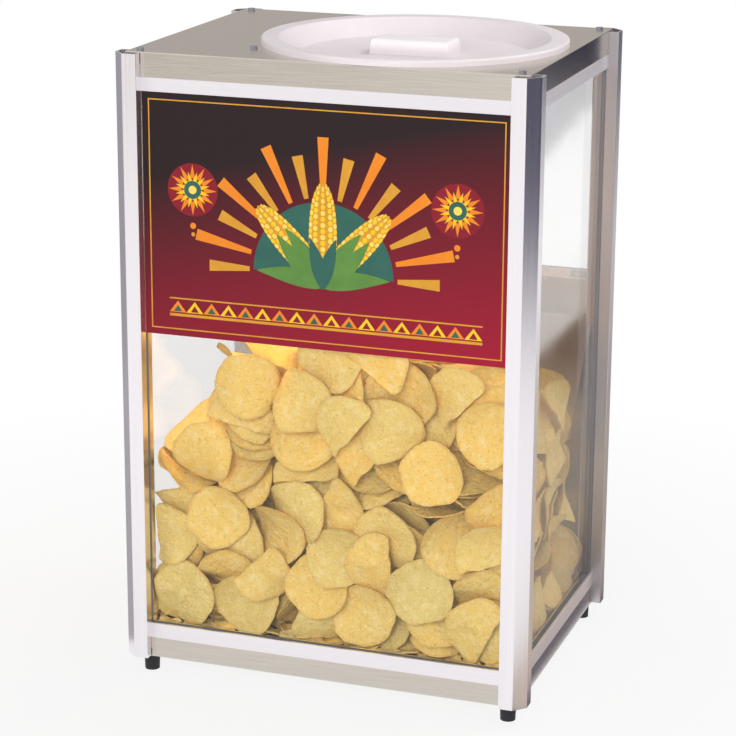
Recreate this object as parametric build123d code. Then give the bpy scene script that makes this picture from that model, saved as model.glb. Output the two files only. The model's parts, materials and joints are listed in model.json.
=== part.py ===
from build123d import *
import os
from math import cos, pi, radians, sin, tan

# A counter-top chip warmer: four aluminium corner posts hold glass on the front and both sides, and
# glass above a drop-down baffle at the rear. Chips go in through a round opening in the stainless top
# and come out at a flip-up door at the bottom of the rear. A fan and a heating element under a
# perforated deck keep them warm. Millimetres; X to the right seen from the front, Y to the rear, Z up.
# The origin is on the floor, in the middle of the cabinet.

# Cabinet
cabinet_width = 406.0
cabinet_depth = 318.0
post_length = 593.0
foot_height = 17.0
sheet = 1.0
fold_radius = 0.9

# Corner posts: square extrusions with a 45 degree outer corner
post_size = 25.0
post_chamfer = 11.0
post_wall = 1.6
post_edge = 0.6
slot_depth = 7.0
port_inset = 20.8
port_radius = 1.9

# Glass and its vinyl seal
glass = 4.0
glass_line = 14.0
seal = 0.55
seal_edge = 1.2
seal_clearance = 0.05
glass_bite = 5.5

# Rails and the sheet-metal edges, measured inwards from the posts' outer faces
rail_set_back = 9.0
rail_depth = 9.0
rail_groove_depth = 8.0
rail_web = 1.6
rail_edge = 0.5
bottom_rail_height = 15.0
top_rail_height = 13.0
middle_rail_height = 17.0
tongue_length = 12.0
tongue = 1.5
panel_set_back = 10.0
base_fascia = 20.0
rear_fascia = 33.0
top_fascia = 23.0
flange_gap = 0.5
rear_glass_sill = 335.0

# Rail brackets and rivets
bracket_leg = 18.0
bracket_height = 7.0
bracket_wall = 1.5
bracket_clearance = 1.0
bracket_rivet_inset = 10.8
rivet_radius = 1.6
rivet_head_radius = 2.8
rivet_head = 1.0
rivet_clearance = 0.05

# Lid and its opening
opening_radius = 132.0
opening_x = 40.0
opening_y = -5.0
collar_drop = 8.0
lid_radius = 145.0
lid_rim_height = 6.0
lid_rim_inner_radius = 128.0
lid_wall = 2.5
lid_recess = 16.0
lid_floor_radius = 109.0
lid_edge_round = 2.0
lid_rim_round = 3.0
lid_floor_round = 4.0
grip_length = 78.0
grip_depth = 38.0
grip_height = 14.0
grip_taper = 3.0
grip_round = 3.0

# Front sign
sign_height = 230.0
sign_thickness = 0.6
sign_gap = 0.5

# Deck over the warm-air chamber
deck_level = 28.0
deck_gap = 0.5
deck_pitch = 22.0
deck_hole_radius = 3.5
deck_hole_columns = 15
deck_hole_rows = 11
sill_height = 28.0
sill_inset = 22.0

# Baffle
baffle_drop = 30.0
baffle_overlap = 7.5
baffle_slope = 50.0
baffle_length = 125.0
baffle_lip = 10.0
baffle_side_gap = 3.0

# Rear door
door_side_gap = 2.5
door_bottom_gap = 3.0
door_return = 7.0
hinge_axis_drop = 5.0
hinge_axis_inset = 11.0
hinge_barrel_radius = 2.6
hinge_pin_radius = 1.2
hinge_clearance = 0.05
hinge_length = 60.0
hinge_knuckles = 5
hinge_knuckle_gap = 0.3
hinge_leaf_width = 22.0
hinge_x = 120.0
door_top_gap = 4.0
pull_width = 120.0
pull_height = 30.0
pull_wall = 1.5
pull_reach = 9.0
pull_rise = 10.0
pull_lip = 5.0
magnet_width = 30.0
magnet_height = 12.0
magnet_gap = 0.3
magnet_rise = 5.0

# Feet
foot_radius = 7.8
foot_taper = 0.6
foot_bore_radius = 4.0
foot_recess = 6.0
screw_radius = 1.8
screw_clearance = 0.1
screw_length = 16.0
screw_head_radius = 3.4
screw_head = 2.2

# Controls on the rear edge of the base
control_z = 33.5
switch_x = -100.0
switch_width = 19.0
switch_height = 13.0
switch_depth = 18.0
switch_bezel = 2.0
switch_bezel_border = 1.6
switch_floor = 6.4
rocker_gap = 0.4
rocker_crown = 0.6
rocker_valley = 1.2
rocker_skirt = 4.5
rocker_draft = 0.6
rocker_axis_inset = 2.0
rocker_tilt = 9.0
rocker_pin_radius = 1.0
rocker_pin_length = 1.2
pilot_x = -62.0
pilot_radius = 4.5
pilot_flange_radius = 6.0
pilot_flange = 3.0
pilot_depth = 14.0
thermostat_x = -15.0
thermostat_width = 26.0
thermostat_height = 22.0
thermostat_depth = 24.0
thermostat_neck_radius = 5.0
shaft_radius = 3.0
shaft_reach = 8.0
shaft_end_gap = 2.0
shaft_clearance = 0.05
knob_radius = 12.0
knob_height = 7.5
knob_gap = 1.2
knob_skirt = 2.0
knob_flutes = 12
knob_flute_radius = 2.4
pointer_width = 1.6
pointer_rise = 0.6
cord_x = -150.0
cord_bore_radius = 3.8
cord_neck_radius = 6.5
cord_flange_radius = 9.0
bushing_flange = 3.0
bushing_depth = 12.0

# Fan
fan_size = 80.0
fan_height = 15.0
fan_x = -70.0
fan_y = 5.0
fan_bore_radius = 38.0
fan_base = 3.0
fan_hub_radius = 14.0
fan_blades = 7
fan_blade_wall = 1.4
fan_blade_pitch = 50.0
fan_blade_chord = 11.0
fan_tip_gap = 1.0
fan_spokes = 4
fan_spoke_width = 4.0
fan_axle_radius = 1.5
fan_boss_wall = 2.5
fan_boss_height = 6.0
fan_hub_wall = 1.6
fan_running_gap = 1.0
intake_ring_step = 9.5
intake_rings = 3
intake_hole_radius = 2.6

# Heating element: a sheathed tube in four runs
element_radius = 3.25
element_z = 32.0
element_first_x = 30.0
element_run_pitch = 40.0
element_runs = 4
element_front_y = -100.0
element_rear_y = 100.0
element_turn_y = 78.0
element_bend = 16.0
element_pin_radius = 1.5
element_pin_length = 8.0
clip_width = 12.0
clip_depth = 5.0
clip_clearance = 0.1
clip_y = 45.0
limit_radius = 8.0
limit_height = 6.0
limit_x = 90.0
limit_y = 0.0
terminal_x = -100.0
terminal_y = 93.0
terminal_size = (40.0, 18.0, 16.0)
terminal_ways = 5
terminal_pocket_radius = 2.6
terminal_pocket_depth = 4.0
wire_radius = 1.1
wire_bend = 6.0

# Lamp under the left of the top
lamp_left = 27.0
lamp_width = 80.0
lamp_length = 236.0
lamp_drop = 30.0
lamp_shelf = 6.0
lens = 2.0
lens_gap = 0.5
lamp_tab_x = -88.0
lamp_tab_y = 93.0
lamp_tab = 14.0
bulb_radius = 10.0
bulb_round = 3.5
bulb_length = 130.0
holder_radius = 11.0
holder_length = 34.0
lead_radius = 2.0
lead_gap = 0.3
lead_bend = 9.0
lead_hole_clearance = 0.5

# Levels and places that follow from the values above
base_z = foot_height
post_z = base_z + sheet
post_top = post_z + post_length
top_z = post_top + sheet
bottom_rail_z = base_z + base_fascia
bottom_rail_top = bottom_rail_z + bottom_rail_height
top_rail_top = top_z - top_fascia
top_rail_z = top_rail_top - top_rail_height
middle_rail_z = post_z + rear_glass_sill - sheet
middle_rail_top = middle_rail_z + middle_rail_height
rear_flange_top = base_z + rear_fascia
slot_width = glass + 2 * (seal + seal_clearance)
front_span = cabinet_width - 2 * post_size
side_span = cabinet_depth - 2 * post_size
spans = {"front": front_span, "rear": front_span, "left": side_span, "right": side_span}
rail_inner = rail_set_back + rail_depth
deck_z = base_z + deck_level
deck_top = deck_z + sheet
half_width = cabinet_width / 2
half_depth = cabinet_depth / 2
door_half_width = front_span / 2 - door_side_gap
door_z = rear_flange_top + door_bottom_gap
hinge_axis_z = middle_rail_z - hinge_axis_drop
door_top = hinge_axis_z - door_top_gap
magnet_z = door_z + magnet_rise
flange_inner = panel_set_back + sheet
tolerance = 0.01


def block(x, y, z):
    """A box between a pair of limits along each axis."""
    middle = [sum(pair) / 2 for pair in (x, y, z)]
    size = [abs(pair[1] - pair[0]) for pair in (x, y, z)]
    return Pos(*middle) * Box(*size)


def rod(start, end, radius):
    """A round bar from one point to another."""
    run = Vector(*end) - Vector(*start)
    return extrude(Plane(Vector(*start), z_dir=run) * Circle(radius), amount=run.length)


def place(side, shape):
    """Moves a shape from a side's own frame, x along the side and y inwards from the posts' outer face."""
    angle, x, y = {
        "front": (0, 0, -half_depth),
        "right": (90, half_width, 0),
        "rear": (180, 0, half_depth),
        "left": (-90, -half_width, 0),
    }[side]
    return Pos(x, y, 0) * Rot(0, 0, angle) * shape


def save(name, *shapes):
    """Writes one node, as a single solid or as a group of separate ones."""
    solids = [solid for shape in shapes for solid in shape.solids()]
    export_step(solids[0] if len(solids) == 1 else Compound(solids), f"parts/{name}.step")


def corner_points(x_side, y_side, points):
    """Points given inwards from a post's outer corner, as points of the cabinet."""
    return [(x_side * (half_width - u), y_side * (half_depth - v)) for u, v in points]


corners = {
    "front_left": (-1, -1),
    "front_right": (1, -1),
    "rear_left": (-1, 1),
    "rear_right": (1, 1),
}
ports = {name: corner_points(*signs, [(port_inset, port_inset)])[0] for name, signs in corners.items()}


# Posts, rails and their brackets


def post(x_side, y_side):
    """A corner post: an L-shaped chamber behind the outer corner, two glass slots and a screw port."""
    low = glass_line - slot_width / 2
    high = glass_line + slot_width / 2
    bottom = post_size - slot_depth
    chamber_end = low - post_wall
    skin = post_size - post_wall
    start = post_chamfer + post_wall * (2**0.5 - 1)
    outline = [
        (post_chamfer, 0),
        (post_size, 0),
        (post_size, post_size),
        (0, post_size),
        (0, post_chamfer),
    ]
    chamber = [
        (start, post_wall),
        (skin, post_wall),
        (skin, chamber_end),
        (chamber_end, chamber_end),
        (chamber_end, skin),
        (post_wall, skin),
        (post_wall, start),
    ]
    slot = [(bottom, low), (post_size, low), (post_size, high), (bottom, high)]
    section = Polygon(*corner_points(x_side, y_side, outline), align=None)
    section = fillet(section.vertices(), post_edge)
    section -= Polygon(*corner_points(x_side, y_side, chamber), align=None)
    section -= Polygon(*corner_points(x_side, y_side, slot), align=None)
    section -= Polygon(*corner_points(x_side, y_side, [(v, u) for u, v in slot]), align=None)
    port = corner_points(x_side, y_side, [(port_inset, port_inset)])[0]
    section -= Pos(*port) * Circle(port_radius)
    return extrude(Pos(0, 0, post_z) * section, amount=post_length, dir=(0, 0, 1))


def rivet_hole(side, end, z):
    """The hole through a rail's inner wall and its bracket."""
    x = end * (spans[side] / 2 - bracket_rivet_inset)
    reach = glass_line + slot_width / 2
    return rod((x, reach, z), (x, rail_inner + bracket_wall, z), rivet_radius + rivet_clearance)


def rail(side, z, height, groove_at_top, tongue_down, rivet_z):
    """A glazing rail between two posts: a groove for the glass and a tongue behind the sheet metal."""
    half = spans[side] / 2
    low = glass_line - slot_width / 2
    high = glass_line + slot_width / 2
    body = block((-half, half), (rail_set_back, rail_inner), (z, z + height))
    body = fillet(body.edges().filter_by(Axis.X).group_by(Axis.Y)[0], rail_edge)
    web_low = z + rail_web if groove_at_top else z + rail_groove_depth + rail_web
    web_high = z + height - rail_web if not groove_at_top else z + height - rail_groove_depth - rail_web
    groove = (z + height - rail_groove_depth, z + height) if groove_at_top else (z, z + rail_groove_depth)
    body -= block((-half, half), (low, high), groove)
    body -= block((-half, half), (rail_set_back + rail_web, rail_inner - rail_web), (web_low, web_high))
    if tongue_down is not None:
        reach = (z - tongue_length, z) if tongue_down else (z + height, z + height + tongue_length)
        body += block((-half, half), (flange_inner, flange_inner + tongue), reach)
    for end in (-1, 1):
        body -= rivet_hole(side, end, rivet_z)
    return place(side, body)


def rail_bracket(side, end, z):
    """An angle that ties one rail end to its post, on the inside."""
    post_face = spans[side] / 2
    long_leg = block(
        (post_face - bracket_leg, post_face),
        (rail_inner, rail_inner + bracket_wall),
        (z - bracket_height / 2, z + bracket_height / 2),
    )
    short_leg = block(
        (post_face - bracket_wall, post_face),
        (rail_inner, post_size),
        (z - bracket_height / 2, z + bracket_height / 2),
    )
    angle = long_leg + short_leg
    return place(side, (angle if end > 0 else mirror(angle, about=Plane.YZ)) - rivet_hole(side, end, z))


def rail_rivet(side, end, z):
    x = end * (spans[side] / 2 - bracket_rivet_inset)
    face = rail_inner + bracket_wall
    shank = rod((x, glass_line + slot_width / 2 + rivet_clearance, z), (x, face, z), rivet_radius)
    head = rod((x, face, z), (x, face + rivet_head, z), rivet_head_radius)
    return place(side, shank + head)


bottom_rivet_z = bottom_rail_z + bracket_height / 2
top_rivet_z = top_rail_z + rail_groove_depth / 2
middle_rivet_z = middle_rail_top - rail_groove_depth / 2
rail_ends = [(side, end, bottom_rivet_z) for side in ("front", "left", "right") for end in (-1, 1)]
rail_ends += [(side, end, top_rivet_z) for side in spans for end in (-1, 1)]
rail_ends += [("rear", end, middle_rivet_z) for end in (-1, 1)]


# Glass, seals and the sign


def glazing(side, sill, head):
    """A pane and the U-shaped seal round its edge, for a window between two levels."""
    half = spans[side] / 2
    pane_x = half + glass_bite
    pane_z = (sill - rail_groove_depth + seal_edge, head + glass_bite)
    face = (glass_line - glass / 2, glass_line + glass / 2)
    pane = block((-pane_x, pane_x), face, pane_z)
    edge_x = pane_x + seal_edge
    around = block(
        (-edge_x, edge_x),
        (face[0] - seal, face[1] + seal),
        (pane_z[0] - seal_edge, pane_z[1] + seal_edge),
    )
    window = block((-half, half), (0, post_size), (sill, head))
    return place(side, pane), place(side, around - pane - window)


def sign():
    """The printed sheet on the outside of the upper part of the front glass."""
    half = front_span / 2 - sign_gap
    face = glass_line - glass / 2
    top = top_rail_z - sign_gap
    return place("front", block((-half, half), (face - sign_thickness, face), (top - sign_height, top)))


# Sheet metal


def folded_edge(side, low, high):
    """A flange of a pan along one side, between the posts."""
    half = spans[side] / 2 - flange_gap
    return place(side, block((-half, half), (panel_set_back, flange_inner), (low, high)))


def pan_plate(z):
    reach_x = half_width - panel_set_back
    reach_y = half_depth - panel_set_back
    return block((-reach_x, reach_x), (-reach_y, reach_y), (z, z + sheet))


def rear_bore(x, radius):
    """A hole through the rear flange for a control."""
    return place("rear", rod((x, 0, control_z), (x, rail_inner, control_z), radius))


def intake_holes():
    holes = [Pos(fan_x, fan_y) * Circle(intake_hole_radius)]
    for ring in range(1, intake_rings + 1):
        for step in range(6 * ring):
            turn = 2 * pi * step / (6 * ring)
            reach = ring * intake_ring_step
            spot = Pos(fan_x + reach * cos(turn), fan_y + reach * sin(turn))
            holes.append(spot * Circle(intake_hole_radius))
    return [extrude(Pos(0, 0, base_z) * hole, amount=sheet, dir=(0, 0, 1)) for hole in holes]


def base_pan():
    """The bottom tray: the posts stand on it, and its edges are the lower fascias."""
    pan = pan_plate(base_z)
    for side in ("front", "left", "right"):
        pan += folded_edge(side, base_z, bottom_rail_z)
    pan += folded_edge("rear", base_z, rear_flange_top)
    for x, y in ports.values():
        pan -= rod((x, y, base_z), (x, y, post_z), screw_radius + screw_clearance)
    for hole in intake_holes():
        pan -= hole
    half = switch_width / 2
    cut_z = (control_z - switch_height / 2, control_z + switch_height / 2)
    pan -= place("rear", block((-switch_x - half, -switch_x + half), (0, rail_inner), cut_z))
    pan -= rear_bore(-pilot_x, pilot_radius)
    pan -= rear_bore(-thermostat_x, thermostat_neck_radius)
    pan -= rear_bore(-cord_x, cord_neck_radius)
    return pan


def top_pan():
    """The top: a plate with the round opening and its collar, and four turned-down fascias."""
    pan = pan_plate(post_top)
    for side in spans:
        pan += folded_edge(side, top_rail_top, top_z)
    pan = fillet(pan.edges().group_by(Axis.Z)[-1], fold_radius)
    low = (opening_x, opening_y, top_z - collar_drop)
    high = (opening_x, opening_y, top_z)
    pan += rod(low, high, opening_radius + sheet)
    pan -= rod(low, high, opening_radius)
    for x, y in ports.values():
        pan -= rod((x, y, post_top), (x, y, top_z), screw_radius + screw_clearance)
    for y in (-lamp_tab_y, lamp_tab_y):
        pan -= rod((lamp_tab_x, y, post_top), (lamp_tab_x, y, top_z), screw_radius + screw_clearance)
    return pan


def deck():
    """The perforated floor of the bin, on down-turned edges, with a raised sill at the rear."""
    wide = half_width - rail_inner - deck_gap
    narrow = front_span / 2 - deck_gap
    shallow = side_span / 2 - deck_gap
    deep = half_depth - rail_inner - deck_gap
    rear = half_depth - sill_inset
    outline = Rectangle(2 * wide, 2 * shallow)
    outline += Pos(0, (rear - deep) / 2) * Rectangle(2 * narrow, rear + deep)
    holes = GridLocations(deck_pitch, deck_pitch, deck_hole_columns, deck_hole_rows)
    outline -= [spot * Circle(deck_hole_radius) for spot in holes]
    lead = lead_spot()
    outline -= Pos(*lead) * Circle(lead_radius + lead_hole_clearance)
    plate = extrude(Pos(0, 0, deck_z) * outline, amount=sheet, dir=(0, 0, 1))
    skirt_x = front_span / 2 - bracket_leg - bracket_clearance
    skirt_y = side_span / 2 - bracket_leg - bracket_clearance
    plate += block((-skirt_x, skirt_x), (-deep, -deep + sheet), (post_z, deck_z))
    for side in (-1, 1):
        plate += block((side * wide, side * (wide - sheet)), (-skirt_y, skirt_y), (post_z, deck_z))
    plate += block((-narrow, narrow), (rear - sheet, rear), (deck_z, deck_top + sill_height))
    return plate


def baffle():
    """The sheet that hangs from the middle rail and slopes forwards, so that old chips leave first."""
    rear = half_depth - rail_inner
    fold_z = middle_rail_z - baffle_drop
    lean = radians(baffle_slope)
    miter = sheet * tan((pi / 2 - lean) / 2)
    foot_y = rear - baffle_length * cos(lean)
    foot_z = fold_z - baffle_length * sin(lean)
    line = Polyline(
        (rear, middle_rail_z + baffle_overlap),
        (rear, fold_z),
        (foot_y, foot_z),
        (foot_y, foot_z - baffle_lip),
    )
    other = Polyline(
        (rear - sheet, middle_rail_z + baffle_overlap),
        (rear - sheet, fold_z + miter),
        (foot_y - sheet, foot_z + miter),
        (foot_y - sheet, foot_z - baffle_lip),
    )
    closing = [Line(line @ 0, other @ 0), Line(line @ 1, other @ 1)]
    profile = Plane.YZ * make_face([*line.edges(), *other.edges(), *closing])
    half = half_width - glass_line - glass / 2 - baffle_side_gap
    plate = extrude(Pos(-half, 0, 0) * profile, amount=2 * half, dir=(1, 0, 0))
    narrow = front_span / 2 - flange_gap
    clear_y = side_span / 2 - flange_gap
    top = middle_rail_top
    for side in (-1, 1):
        plate -= block((side * narrow, side * half_width), (clear_y, half_depth), (base_z, top))
    lead_x, lead_y = lead_spot()
    reach = lead_radius + 2 * lead_hole_clearance
    plate -= block((-half_width, lead_x + reach), (lead_y - reach, half_depth), (base_z, middle_rail_z))
    for x in baffle_rivet_x:
        plate -= rod(
            (x, rear - sheet, baffle_rivet_z), (x, rear, baffle_rivet_z), rivet_radius + rivet_clearance
        )
    return plate


baffle_rivet_x = (-130.0, -45.0, 45.0, 130.0)
baffle_rivet_z = middle_rail_z + baffle_overlap / 2


def baffle_rivet(x):
    face = half_depth - rail_inner
    shank_end = face + rail_web
    shank = rod((x, face - sheet, baffle_rivet_z), (x, shank_end, baffle_rivet_z), rivet_radius)
    head = rod(
        (x, face - sheet - rivet_head, baffle_rivet_z), (x, face - sheet, baffle_rivet_z), rivet_head_radius
    )
    return shank + head


# Lid


def lid():
    """A moulded lid: a hollow rim on the top plate, a dished middle and a raised grip."""
    rim_top = top_z + lid_rim_height
    floor_z = rim_top - lid_recess
    lean = (lid_rim_inner_radius - lid_floor_radius) / lid_recess
    under = rim_top - lid_wall
    outline = [
        (0, floor_z),
        (lid_floor_radius, floor_z),
        (lid_rim_inner_radius, rim_top),
        (lid_radius, rim_top),
        (lid_radius, top_z),
        (lid_radius - lid_wall, top_z),
        (lid_radius - lid_wall, under),
        (lid_rim_inner_radius + lid_wall - lean * lid_wall, under),
        (lid_floor_radius + lid_wall - lean * lid_wall, floor_z - lid_wall),
        (0, floor_z - lid_wall),
    ]
    shell = revolve(make_face(Plane.XZ * Polyline(*outline, close=True)), axis=Axis.Z)
    shell = fillet(ring(shell, lid_radius, rim_top), lid_edge_round)
    shell = fillet(ring(shell, lid_rim_inner_radius, rim_top), lid_rim_round)
    shell = fillet(ring(shell, lid_floor_radius, floor_z), lid_floor_round)
    grip = taper_block(grip_length, grip_depth, grip_height, floor_z, grip_taper)
    grip = fillet(grip.faces().sort_by(Axis.Z)[-1].edges(), grip_round)
    hollow = taper_block(
        grip_length - 2 * lid_wall,
        grip_depth - 2 * lid_wall,
        grip_height,
        floor_z - lid_wall,
        grip_taper,
    )
    return Pos(opening_x, opening_y, 0) * (shell + grip - hollow)


def ring(shape, radius, z):
    """The circular edge of a revolved shape at a radius and a level."""
    circles = shape.edges().filter_by(GeomType.CIRCLE)
    return [
        edge
        for edge in circles
        if abs(edge.radius - radius) < tolerance and abs(edge.center().Z - z) < tolerance
    ]


def taper_block(length, depth, height, z, taper):
    """A block whose sides lean inwards towards its top."""
    foot = Pos(0, 0, z) * Rectangle(length, depth)
    head = Pos(0, 0, z + height) * Rectangle(length - taper, depth - taper)
    return loft([foot, head])


# Rear door


def hinge_knuckle_spans(x, moving):
    """Where one leaf's knuckles start and end along the pin: the moving leaf has every other one."""
    pitch = hinge_length / hinge_knuckles
    first = x - hinge_length / 2 + hinge_knuckle_gap / 2
    starts = [first + index * pitch for index in range(1 if moving else 0, hinge_knuckles, 2)]
    return [(start, start + pitch - hinge_knuckle_gap) for start in starts]


def hinge_leaf(x, moving):
    """A hinge leaf with its knuckles: one hangs under the middle rail, the other is on the door."""
    axis_y = half_depth - hinge_axis_inset
    door_face = (half_depth - flange_inner - sheet, half_depth - flange_inner)
    half = hinge_length / 2
    if moving:
        leaf = block((x - half, x + half), door_face, (door_top - hinge_leaf_width, door_top - sheet))
        arm = (door_face, (door_top - sheet, hinge_axis_z))
    else:
        rail_face = (half_depth - rail_inner + rail_web, half_depth - rail_set_back - rail_web)
        leaf = block((x - half, x + half), rail_face, (middle_rail_z - sheet, middle_rail_z))
        arm = ((axis_y - sheet / 2, axis_y + sheet / 2), (hinge_axis_z, middle_rail_z))
    for start, end in hinge_knuckle_spans(x, moving):
        leaf += block((start, end), *arm)
        leaf += rod((start, axis_y, hinge_axis_z), (end, axis_y, hinge_axis_z), hinge_barrel_radius)
    bore = hinge_pin_radius + hinge_clearance
    return leaf - rod((x - half, axis_y, hinge_axis_z), (x + half, axis_y, hinge_axis_z), bore)


def hinge_pin(x):
    y = half_depth - hinge_axis_inset
    half = hinge_length / 2
    return rod((x - half, y, hinge_axis_z), (x + half, y, hinge_axis_z), hinge_pin_radius)


def door():
    """The flip-up door: a stainless face with its four edges turned inwards."""
    half = door_half_width
    inner = half - sheet
    back = panel_set_back + door_return
    shell = block((-half, half), (panel_set_back, back), (door_z, door_top))
    shell -= block((-inner, inner), (flange_inner, back), (door_z + sheet, door_top - sheet))
    notch = hinge_length / 2 + hinge_knuckle_gap
    for x in (-hinge_x, hinge_x):
        shell -= block((x - notch, x + notch), (flange_inner, back), (door_top - sheet, door_top))
    return place("rear", shell)


def door_pull():
    """A folded pull low on the door: a plate with a shelf and a turned-down lip that fingers lift."""
    half = pull_width / 2
    z = door_z + pull_rise
    outer = panel_set_back - pull_reach
    plate = block((-half, half), (panel_set_back - pull_wall, panel_set_back), (z, z + pull_height))
    shelf = block((-half, half), (outer, panel_set_back), (z, z + pull_wall))
    lip = block((-half, half), (outer, outer + pull_wall), (z - pull_lip, z + pull_wall))
    return place("rear", plate + shelf + lip)


def magnet_catch():
    """A magnet in its block, on the rear of the sill."""
    half = magnet_width / 2
    face = flange_inner + sheet + magnet_gap
    return place("rear", block((-half, half), (face, sill_inset), (magnet_z, magnet_z + magnet_height)))


def door_strike():
    """The steel strip inside the door that the magnet holds."""
    half = magnet_width / 2
    strip = block((-half, half), (flange_inner, flange_inner + sheet), (magnet_z, magnet_z + magnet_height))
    return place("rear", strip)


# Feet and the screws into the posts' ports


def foot(x, y):
    """A tapered rubber bumper with a recess for its screw."""
    low = Pos(x, y, 0) * Circle(foot_radius - foot_taper)
    high = Pos(x, y, base_z) * Circle(foot_radius)
    body = loft([low, high])
    body -= rod((x, y, 0), (x, y, foot_recess), foot_bore_radius)
    body -= rod((x, y, foot_recess), (x, y, base_z), screw_radius + screw_clearance)
    return body


def port_screw(x, y, seat_z, up):
    """A pan-head screw that cuts its thread in a post's port."""
    way = 1 if up else -1
    head = rod((x, y, seat_z), (x, y, seat_z - way * screw_head), screw_head_radius)
    shank = rod((x, y, seat_z), (x, y, seat_z + way * screw_length), screw_radius)
    return head + shank


# Controls


def switch_body():
    """The rocker switch's housing: a bezel outside the rear edge and a box inside it."""
    half = switch_width / 2
    border = switch_bezel_border
    z = (control_z - switch_height / 2, control_z + switch_height / 2)
    x = -switch_x
    outer = block(
        (x - half - border, x + half + border),
        (panel_set_back - switch_bezel, panel_set_back),
        (z[0] - border, z[1] + border),
    )
    inner = block((x - half, x + half), (panel_set_back, panel_set_back + switch_depth), z)
    well = block(
        (x - half + border, x + half - border),
        (panel_set_back - switch_bezel, panel_set_back + switch_depth - switch_floor),
        (z[0] + border, z[1] - border),
    )
    axle = rocker_axle(rocker_pin_radius + shaft_clearance, rocker_pin_length + rocker_gap)
    return place("rear", (outer + inner) - well) - axle


def rocker_axis():
    return half_depth - panel_set_back - rocker_axis_inset


def rocker_axle(radius, reach):
    """The rocker's two pins, or the holes for them, along Z at the middle of the switch."""
    y = rocker_axis()
    half = switch_height / 2 - switch_bezel_border + reach - rocker_gap
    return rod((switch_x, y, control_z - half), (switch_x, y, control_z + half), radius)


def switch_rocker():
    """The rocker, tilted to its off side: two faces that meet in a shallow valley over its pins."""
    half = switch_width / 2 - switch_bezel_border - rocker_gap
    half_z = switch_height / 2 - switch_bezel_border - rocker_gap
    outer = rocker_axis_inset + switch_bezel
    points = [
        (half - rocker_draft, -outer - rocker_crown),
        (half, 0),
        (half - 2 * rocker_draft, rocker_skirt),
        (-half + 2 * rocker_draft, rocker_skirt),
        (-half, 0),
        (-half + rocker_draft, -outer - rocker_crown),
        (0, -outer - rocker_crown + rocker_valley),
    ]
    key = extrude(Pos(0, 0, -half_z) * Polygon(*points, align=None), amount=2 * half_z, dir=(0, 0, 1))
    spot = Pos(-switch_x, panel_set_back + rocker_axis_inset, control_z)
    return place("rear", spot * Rot(0, 0, rocker_tilt) * key) + rocker_axle(
        rocker_pin_radius, rocker_pin_length
    )


def panel_part(x, flange_radius, flange, neck_radius, depth):
    """A round part in a hole of the rear edge: a flange outside and a neck through it."""
    face = (x, panel_set_back, control_z)
    flange_end = (x, panel_set_back - flange, control_z)
    neck_end = (x, panel_set_back + depth, control_z)
    return rod(flange_end, face, flange_radius) + rod(face, neck_end, neck_radius)


def cord_bushing():
    part = panel_part(-cord_x, cord_flange_radius, bushing_flange, cord_neck_radius, bushing_depth)
    ends = [
        (-cord_x, panel_set_back - bushing_flange, control_z),
        (-cord_x, panel_set_back + bushing_depth, control_z),
    ]
    return place("rear", part - rod(*ends, cord_bore_radius))


def pilot_light():
    return place("rear", panel_part(-pilot_x, pilot_flange_radius, pilot_flange, pilot_radius, pilot_depth))


def thermostat_body():
    """The thermostat behind the rear edge, with a neck that carries the knob's shaft."""
    x = -thermostat_x
    half = thermostat_width / 2
    half_z = thermostat_height / 2
    back = flange_inner + thermostat_depth
    neck = (x, panel_set_back - knob_gap, control_z)
    body = block((x - half, x + half), (flange_inner, back), (control_z - half_z, control_z + half_z))
    body += rod(neck, (x, flange_inner, control_z), thermostat_neck_radius)
    bore_end = (x, flange_inner + shaft_reach + shaft_end_gap, control_z)
    body -= rod(neck, bore_end, shaft_radius + shaft_clearance)
    return place("rear", body)


def thermostat_knob():
    """The knob with its shaft: a fluted grip with a raised pointer."""
    face = panel_set_back - knob_gap - rocker_gap
    knob = rod((0, face - knob_height, 0), (0, face, 0), knob_radius)
    for index in range(knob_flutes):
        turn = 2 * pi * (index + 0.5) / knob_flutes
        reach = knob_radius + knob_flute_radius / 2
        spot = (reach * cos(turn), reach * sin(turn))
        flute = ((spot[0], face - knob_height, spot[1]), (spot[0], face - knob_skirt, spot[1]))
        knob -= rod(*flute, knob_flute_radius)
    half = pointer_width / 2
    pointer_face = (face - knob_height - pointer_rise, face - knob_height)
    knob += block((-half, half), pointer_face, (0, knob_radius - pointer_width))
    knob += rod((0, face, 0), (0, flange_inner + shaft_reach, 0), shaft_radius)
    return place("rear", Pos(-thermostat_x, 0, control_z) * knob)


# Fan, heater and wiring under the deck


def fan_frame():
    """A square fan frame on the base, with a motor mount and a bearing boss on spokes."""
    half = fan_size / 2
    hub_top = post_z + fan_base
    boss_top = hub_top + fan_boss_height
    frame = block((-half, half), (-half, half), (post_z, post_z + fan_height))
    frame -= rod((0, 0, post_z), (0, 0, post_z + fan_height), fan_bore_radius)
    frame += rod((0, 0, post_z), (0, 0, hub_top), fan_hub_radius)
    reach = fan_bore_radius + fan_running_gap
    spoke = block((0, reach), (-fan_spoke_width / 2, fan_spoke_width / 2), (post_z, hub_top))
    for index in range(fan_spokes):
        frame += Rot(0, 0, 45 + index * 360 / fan_spokes) * spoke
    frame += rod((0, 0, hub_top), (0, 0, boss_top), fan_axle_radius + fan_boss_wall)
    frame -= rod((0, 0, post_z + sheet), (0, 0, boss_top), fan_axle_radius + shaft_clearance)
    return Pos(fan_x, fan_y, 0) * frame


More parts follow.
